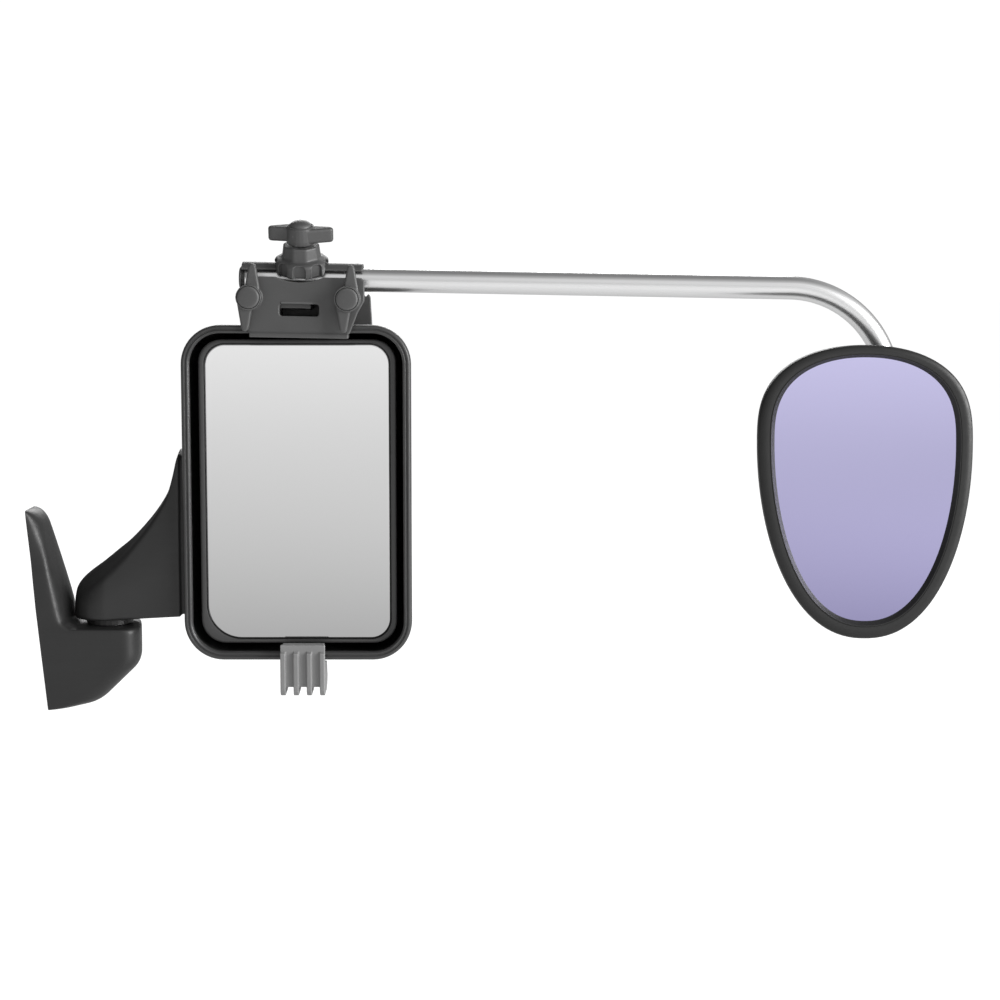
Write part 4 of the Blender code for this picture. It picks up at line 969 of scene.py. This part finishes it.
def tube_line():
    """The tube's middle line in the clamp's frame, as (x, z, x of its way, z of its way)."""
    start = (CLAMP.inverted() @ Vector(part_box("tube")[0]))[0]
    corner = (CLAMP.inverted() @ SWIVEL).x
    end = (CLAMP.inverted() @ Vector((SWIVEL.x, SWIVEL.y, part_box("tube")[0][2])))[2]
    line = [(start + (corner - BEND_RADIUS - start) * i / 24, 0, 1, 0) for i in range(24)]
    for x, z in arc((corner - BEND_RADIUS, -BEND_RADIUS), BEND_RADIUS, 90, 0, 48):
        angle = math.atan2(z + BEND_RADIUS, x - corner + BEND_RADIUS)
        line.append((x, z, math.sin(angle), -math.cos(angle)))
    line += [(corner, -BEND_RADIUS + (end + BEND_RADIUS) * i / 6, 0, -1) for i in range(1, 7)]
    return line


def build_tube():
    line = tube_line()
    sides = 48
    edge = 0.35 * MM
    inner = TUBE_RADIUS - TUBE_WALL
    first, last = line[0], line[-1]

    def ring(spot, radius, shift=0.0):
        x, z, way_x, way_z = spot
        points = []
        for i in range(sides):
            angle = 2 * math.pi * i / sides
            y, out = radius * math.cos(angle), radius * math.sin(angle)
            local = Vector((x + way_x * shift - way_z * out, y, z + way_z * shift + way_x * out))
            points.append(CLAMP @ local)
        return points

    outer = TUBE_RADIUS
    rings = [ring(first, inner + edge), ring(first, outer - edge), ring(first, outer, edge)]
    rings += [ring(spot, outer) for spot in line[1:-1]]
    rings += [ring(last, outer, -edge), ring(last, outer - edge), ring(last, inner + edge)]
    rings += [ring(last, inner, -edge)]
    rings += [ring(spot, inner) for spot in reversed(line[1:-1])]
    rings += [ring(first, inner, edge)]
    tube = loft("tube_fine", rings, looped=True, sharp=50)
    layer = tube.data.uv_layers.new(name="along")
    count = len(rings)
    for face_index, polygon in enumerate(tube.data.polygons):
        row, column = divmod(face_index, sides)
        corners = ((row, column), (row, column + 1), (row + 1, column + 1), (row + 1, column))
        spots = {
            rings[r % count][c % sides].to_tuple(5): (c / sides, r / count) for r, c in corners
        }
        for loop in polygon.loop_indices:
            spot = tube.data.vertices[tube.data.loops[loop].vertex_index].co.to_tuple(5)
            layer.data[loop].uv = spots.get(spot, (column / sides, row / count))
    dress(tube, "tube")


HEAD_LOW, HEAD_HIGH = (Vector(corner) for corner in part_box("head_bezel"))
SHELL_LOW, SHELL_HIGH = (Vector(corner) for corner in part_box("head_shell"))
HEAD_X = (HEAD_LOW.x + HEAD_HIGH.x) / 2
HEAD_HALF = (HEAD_HIGH.x - HEAD_LOW.x) / 2
HEAD_WIDEST = HEAD_LOW.z + 0.6633 * (HEAD_HIGH.z - HEAD_LOW.z)
HEAD_SKEW = 0.014


def egg(inset_side, inset_top, inset_bottom, count=128):
    """The towing head's outline: blunt at the top, narrower below."""
    spots = []
    for i in range(count):
        angle = 2 * math.pi * (i + 0.5) / count
        cosine, sine = math.cos(angle), math.sin(angle)
        if sine > 0:
            height, power, side_power = HEAD_HIGH.z - HEAD_WIDEST - inset_top, 2.9, 2.15
        else:
            height, power, side_power = HEAD_WIDEST - HEAD_LOW.z - inset_bottom, 2.0, 2.25
        x = (HEAD_HALF - inset_side) * math.copysign(abs(cosine) ** (2 / side_power), cosine)
        z = height * math.copysign(abs(sine) ** (2 / power), sine)
        spots.append((HEAD_X + x - HEAD_SKEW * z, HEAD_WIDEST + z))
    return spots


def head_ring(share, y):
    """An outline between the bezel's outer edge (0) and its opening (1)."""
    return at_y(egg(11.4 * MM * share, 8.2 * MM * share, 12.1 * MM * share), y)


def build_head():
    front, back = HEAD_LOW.y, HEAD_HIGH.y
    section = rounded_profile([
        (0, back), (0, front + 3.6 * MM, 0.08), (0.07, front + 1.4 * MM, 0.06),
        (0.28, front + 0.25 * MM, 0.12),
        (0.5, front), (0.69, front + 0.2 * MM), (0.7, front + 0.6 * MM), (0.73, front + 0.6 * MM),
        (0.74, front + 0.1 * MM), (0.78, front + 0.1 * MM, 0.008), (0.81, front + 0.5 * MM, 0.02),
        (0.98, front + 2.6 * MM, 0.01), (1.0, front + 2.7 * MM), (1.0, front + 3 * MM),
        (0.8, front + 3 * MM), (0.78, back),
    ])
    rings = [head_ring(share, y) for share, y in section]
    dress(loft("head_bezel_fine", rings, looped=True), "head_bezel", HEAD)

    wall = 2.4 * MM
    deep = SHELL_HIGH.y
    steps = [
        (0, SHELL_LOW.y), (0.4 * MM, -52.5 * MM), (1.4 * MM, -49.5 * MM), (3 * MM, -46.7 * MM),
        (6 * MM, -43.9 * MM), (10 * MM, -41.3 * MM), (15 * MM, -39.1 * MM),
        (22 * MM, deep - 1.2 * MM), (30 * MM, deep - 0.2 * MM), (38 * MM, deep),
    ]
    outside = smooth_path(steps, 3)
    inside = [
        (inset + wall, max(y - wall * min(1, inset / (6 * MM)), SHELL_LOW.y))
        for inset, y in outside
    ]
    rings = [at_y(egg(inset, inset, inset), y) for inset, y in reversed(outside)]
    rings += [at_y(egg(inset, inset, inset), y) for inset, y in inside]
    shell = loft("head_shell_fine", rings)
    ball = joint_point("head_tilt")
    hole = [(0, 20 * MM), (9 * MM, 20 * MM), (9 * MM, -20 * MM), (0, -20 * MM)]
    place = Matrix.Translation((ball.x, deep, ball.z)) @ TO_VIEWER
    boolean(shell, lathe("ball_room", hole, place), "DIFFERENCE")
    shell.data.shade_smooth()
    shell.data.set_sharp_from_angle(angle=math.radians(40))
    dress(shell, "head_shell", HEAD)

    low, high = (Vector(corner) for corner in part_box("head_glass"))
    side = HEAD_HALF - (high.x - low.x) / 2
    top, bottom = HEAD_HIGH.z - high.z, low.z - HEAD_LOW.z
    rings = []
    section = (
        (0.4, high.y), (0, high.y - 0.4 * MM), (0, low.y + 0.5 * MM), (0.5, low.y), (1.2, low.y),
    )
    for inset, y in section:
        rings.append(at_y(egg(side + inset * MM, top + inset * MM, bottom + inset * MM), y))
    dress(loft("head_glass_fine", rings), "head_glass")
    moulded_copy("swivel_clamp", 0.4 * MM, 2)
    machined_copy("swivel_screw", 0.35 * MM, 3)
    machined_copy("swivel_nut", 0.35 * MM)
    machined_copy("tube_plug", 0.4 * MM, 3)


def finish_cad_nodes():
    """Every CAD node still shown gets its own material and rounded edges."""
    stood_for = {name for piece in bpy.data.objects for name in piece.get("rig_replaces", [])}
    for node, piece in frame["nodes"].items():
        if node in stood_for:
            continue
        piece.data.materials.clear()
        piece.data.materials.append(SLOT_MATERIAL[NODE_SLOT[node]])
        weld = piece.modifiers.new("weld", "WELD")
        weld.merge_threshold = 0.002 * MM
        edge = piece.modifiers.new("edge", "BEVEL")
        edge.width = 0.2 * MM
        edge.segments = 2
        edge.limit_method = "ANGLE"
        edge.angle_limit = math.radians(35)


# Stage

ROOM_LEVELS = ((0, 0.85), (0.35, 0.95), (0.63, 1.15), (0.85, 0.6), (1, 0.32))
TARGET = Vector((0.3208, 0, 0.0737))
CAMERA_DISTANCE = 1.5
CAMERA_PITCH = math.radians(6)
FOCAL_LENGTH, SENSOR_WIDTH = 77.14, 36


def build_floor():
    """A pale floor: white to the camera, and dimmer behind the part in its reflections."""
    reach, level = 30, CAD_BOX[0][2] - 0.06
    mesh = bpy.data.meshes.new("floor")
    corners = [(-reach, -reach), (reach, -reach), (reach, reach), (-reach, reach)]
    mesh.from_pydata([(x, y, level) for x, y in corners], [], [(0, 1, 2, 3)])
    floor = bpy.data.objects.new("floor", mesh)
    bpy.context.scene.collection.objects.link(floor)
    paper = Surface("paper", 0.9)
    fibres = paper.noise(400, 4)
    paper.set("Base Color", paper.mix(paper.scale_range(fibres, 0, 1), grey(0.25), grey(0.27)))
    split = paper.node("ShaderNodeSeparateXYZ", {"Vector": paper.place})
    away = paper.scale_range(split.outputs["Y"], 0.72, 0.34, -0.5, 0.5)
    rays = paper.node("ShaderNodeLightPath").outputs["Is Camera Ray"]
    glow = paper.node("ShaderNodeMix", {"Factor": rays, "A": away, "B": 0.9}).outputs["Result"]
    paper.shader.inputs["Emission Color"].default_value = grey(1)
    paper.set("Emission Strength", glow)
    mesh.materials.append(paper.material)


def build_world():
    """White to the camera; to all else a soft room, brightest at eye level, front and right."""
    world = bpy.data.worlds.new("studio")
    bpy.context.scene.world = world
    world.use_nodes = True
    tree = world.node_tree

    def node(kind, links=(), **values):
        made = tree.nodes.new(kind)
        for name, value in values.items():
            setattr(made, name, value)
        for socket, source in dict(links).items():
            if isinstance(source, bpy.types.NodeSocket):
                tree.links.new(source, made.inputs[socket])
            else:
                made.inputs[socket].default_value = source
        return made

    place = node("ShaderNodeTexCoord").outputs["Generated"]
    split = node("ShaderNodeSeparateXYZ", {0: place})
    ramp = node("ShaderNodeValToRGB", {"Fac": split.outputs["Z"]})
    points = ramp.color_ramp.elements
    while len(points) < len(ROOM_LEVELS):
        points.new(0.5)
    for point, (at, value) in zip(points, ROOM_LEVELS):
        point.position = at
        point.color = grey(value)
    level = ramp.outputs["Color"]
    for axis, start, end, low, high in (("Y", -0.2, 1, 1.0, 0.3), ("X", -0.8, 0, 0.2, 1.0)):
        share = node("ShaderNodeMapRange", {
            "Value": split.outputs[axis], "From Min": start, "From Max": end,
            "To Min": low, "To Max": high,
        }).outputs["Result"]
        level = node("ShaderNodeMath", {0: level, 1: share}, operation="MULTIPLY").outputs[0]
    room = tree.nodes["Background"]
    tree.links.new(level, room.inputs["Color"])
    room.inputs["Strength"].default_value = 0.8
    white = node("ShaderNodeBackground", {"Color": grey(1), "Strength": 1.05})
    rays = node("ShaderNodeLightPath").outputs["Is Camera Ray"]
    both = node("ShaderNodeMixShader", {0: rays, 1: room.outputs[0], 2: white.outputs[0]})
    tree.links.new(both.outputs[0], tree.nodes["World Output"].inputs["Surface"])


def build_stage():
    build_floor()
    build_world()
    lamps = (
        ("key", (2.2, -0.9, 0.6), 1.2, 1.1, 60),
        ("back", (0.2, 1.7, 1.0), 1.2, 0.8, 14),
    )
    for name, spot, width, height, power in lamps:
        light = bpy.data.lights.new(name, "AREA")
        light.shape = "RECTANGLE"
        light.size, light.size_y = width, height
        light.energy = power
        lamp = bpy.data.objects.new(name, light)
        lamp.location = spot
        lamp.rotation_euler = (TARGET - Vector(spot)).to_track_quat("-Z", "Y").to_euler()
        bpy.context.scene.collection.objects.link(lamp)

    lens = bpy.data.cameras.new("camera")
    lens.sensor_width = SENSOR_WIDTH
    lens.lens = FOCAL_LENGTH
    camera = bpy.data.objects.new("camera", lens)
    away = Vector((0, -math.cos(CAMERA_PITCH), math.sin(CAMERA_PITCH)))
    camera.location = TARGET + away * CAMERA_DISTANCE
    camera.rotation_euler = (math.radians(90) - CAMERA_PITCH, 0, 0)
    bpy.context.scene.collection.objects.link(camera)
    bpy.context.scene.camera = camera
    bpy.context.scene.view_settings.view_transform = "Standard"


build_base()
build_housing()
build_arm()
build_rim()
build_main_glass()
build_clamp()
build_bell()
build_caps()
build_rods()
strap, strap_start, strap_end = build_strap()
build_hook()
build_tube()
build_head()
finish_cad_nodes()
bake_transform(strap)
build_stage()
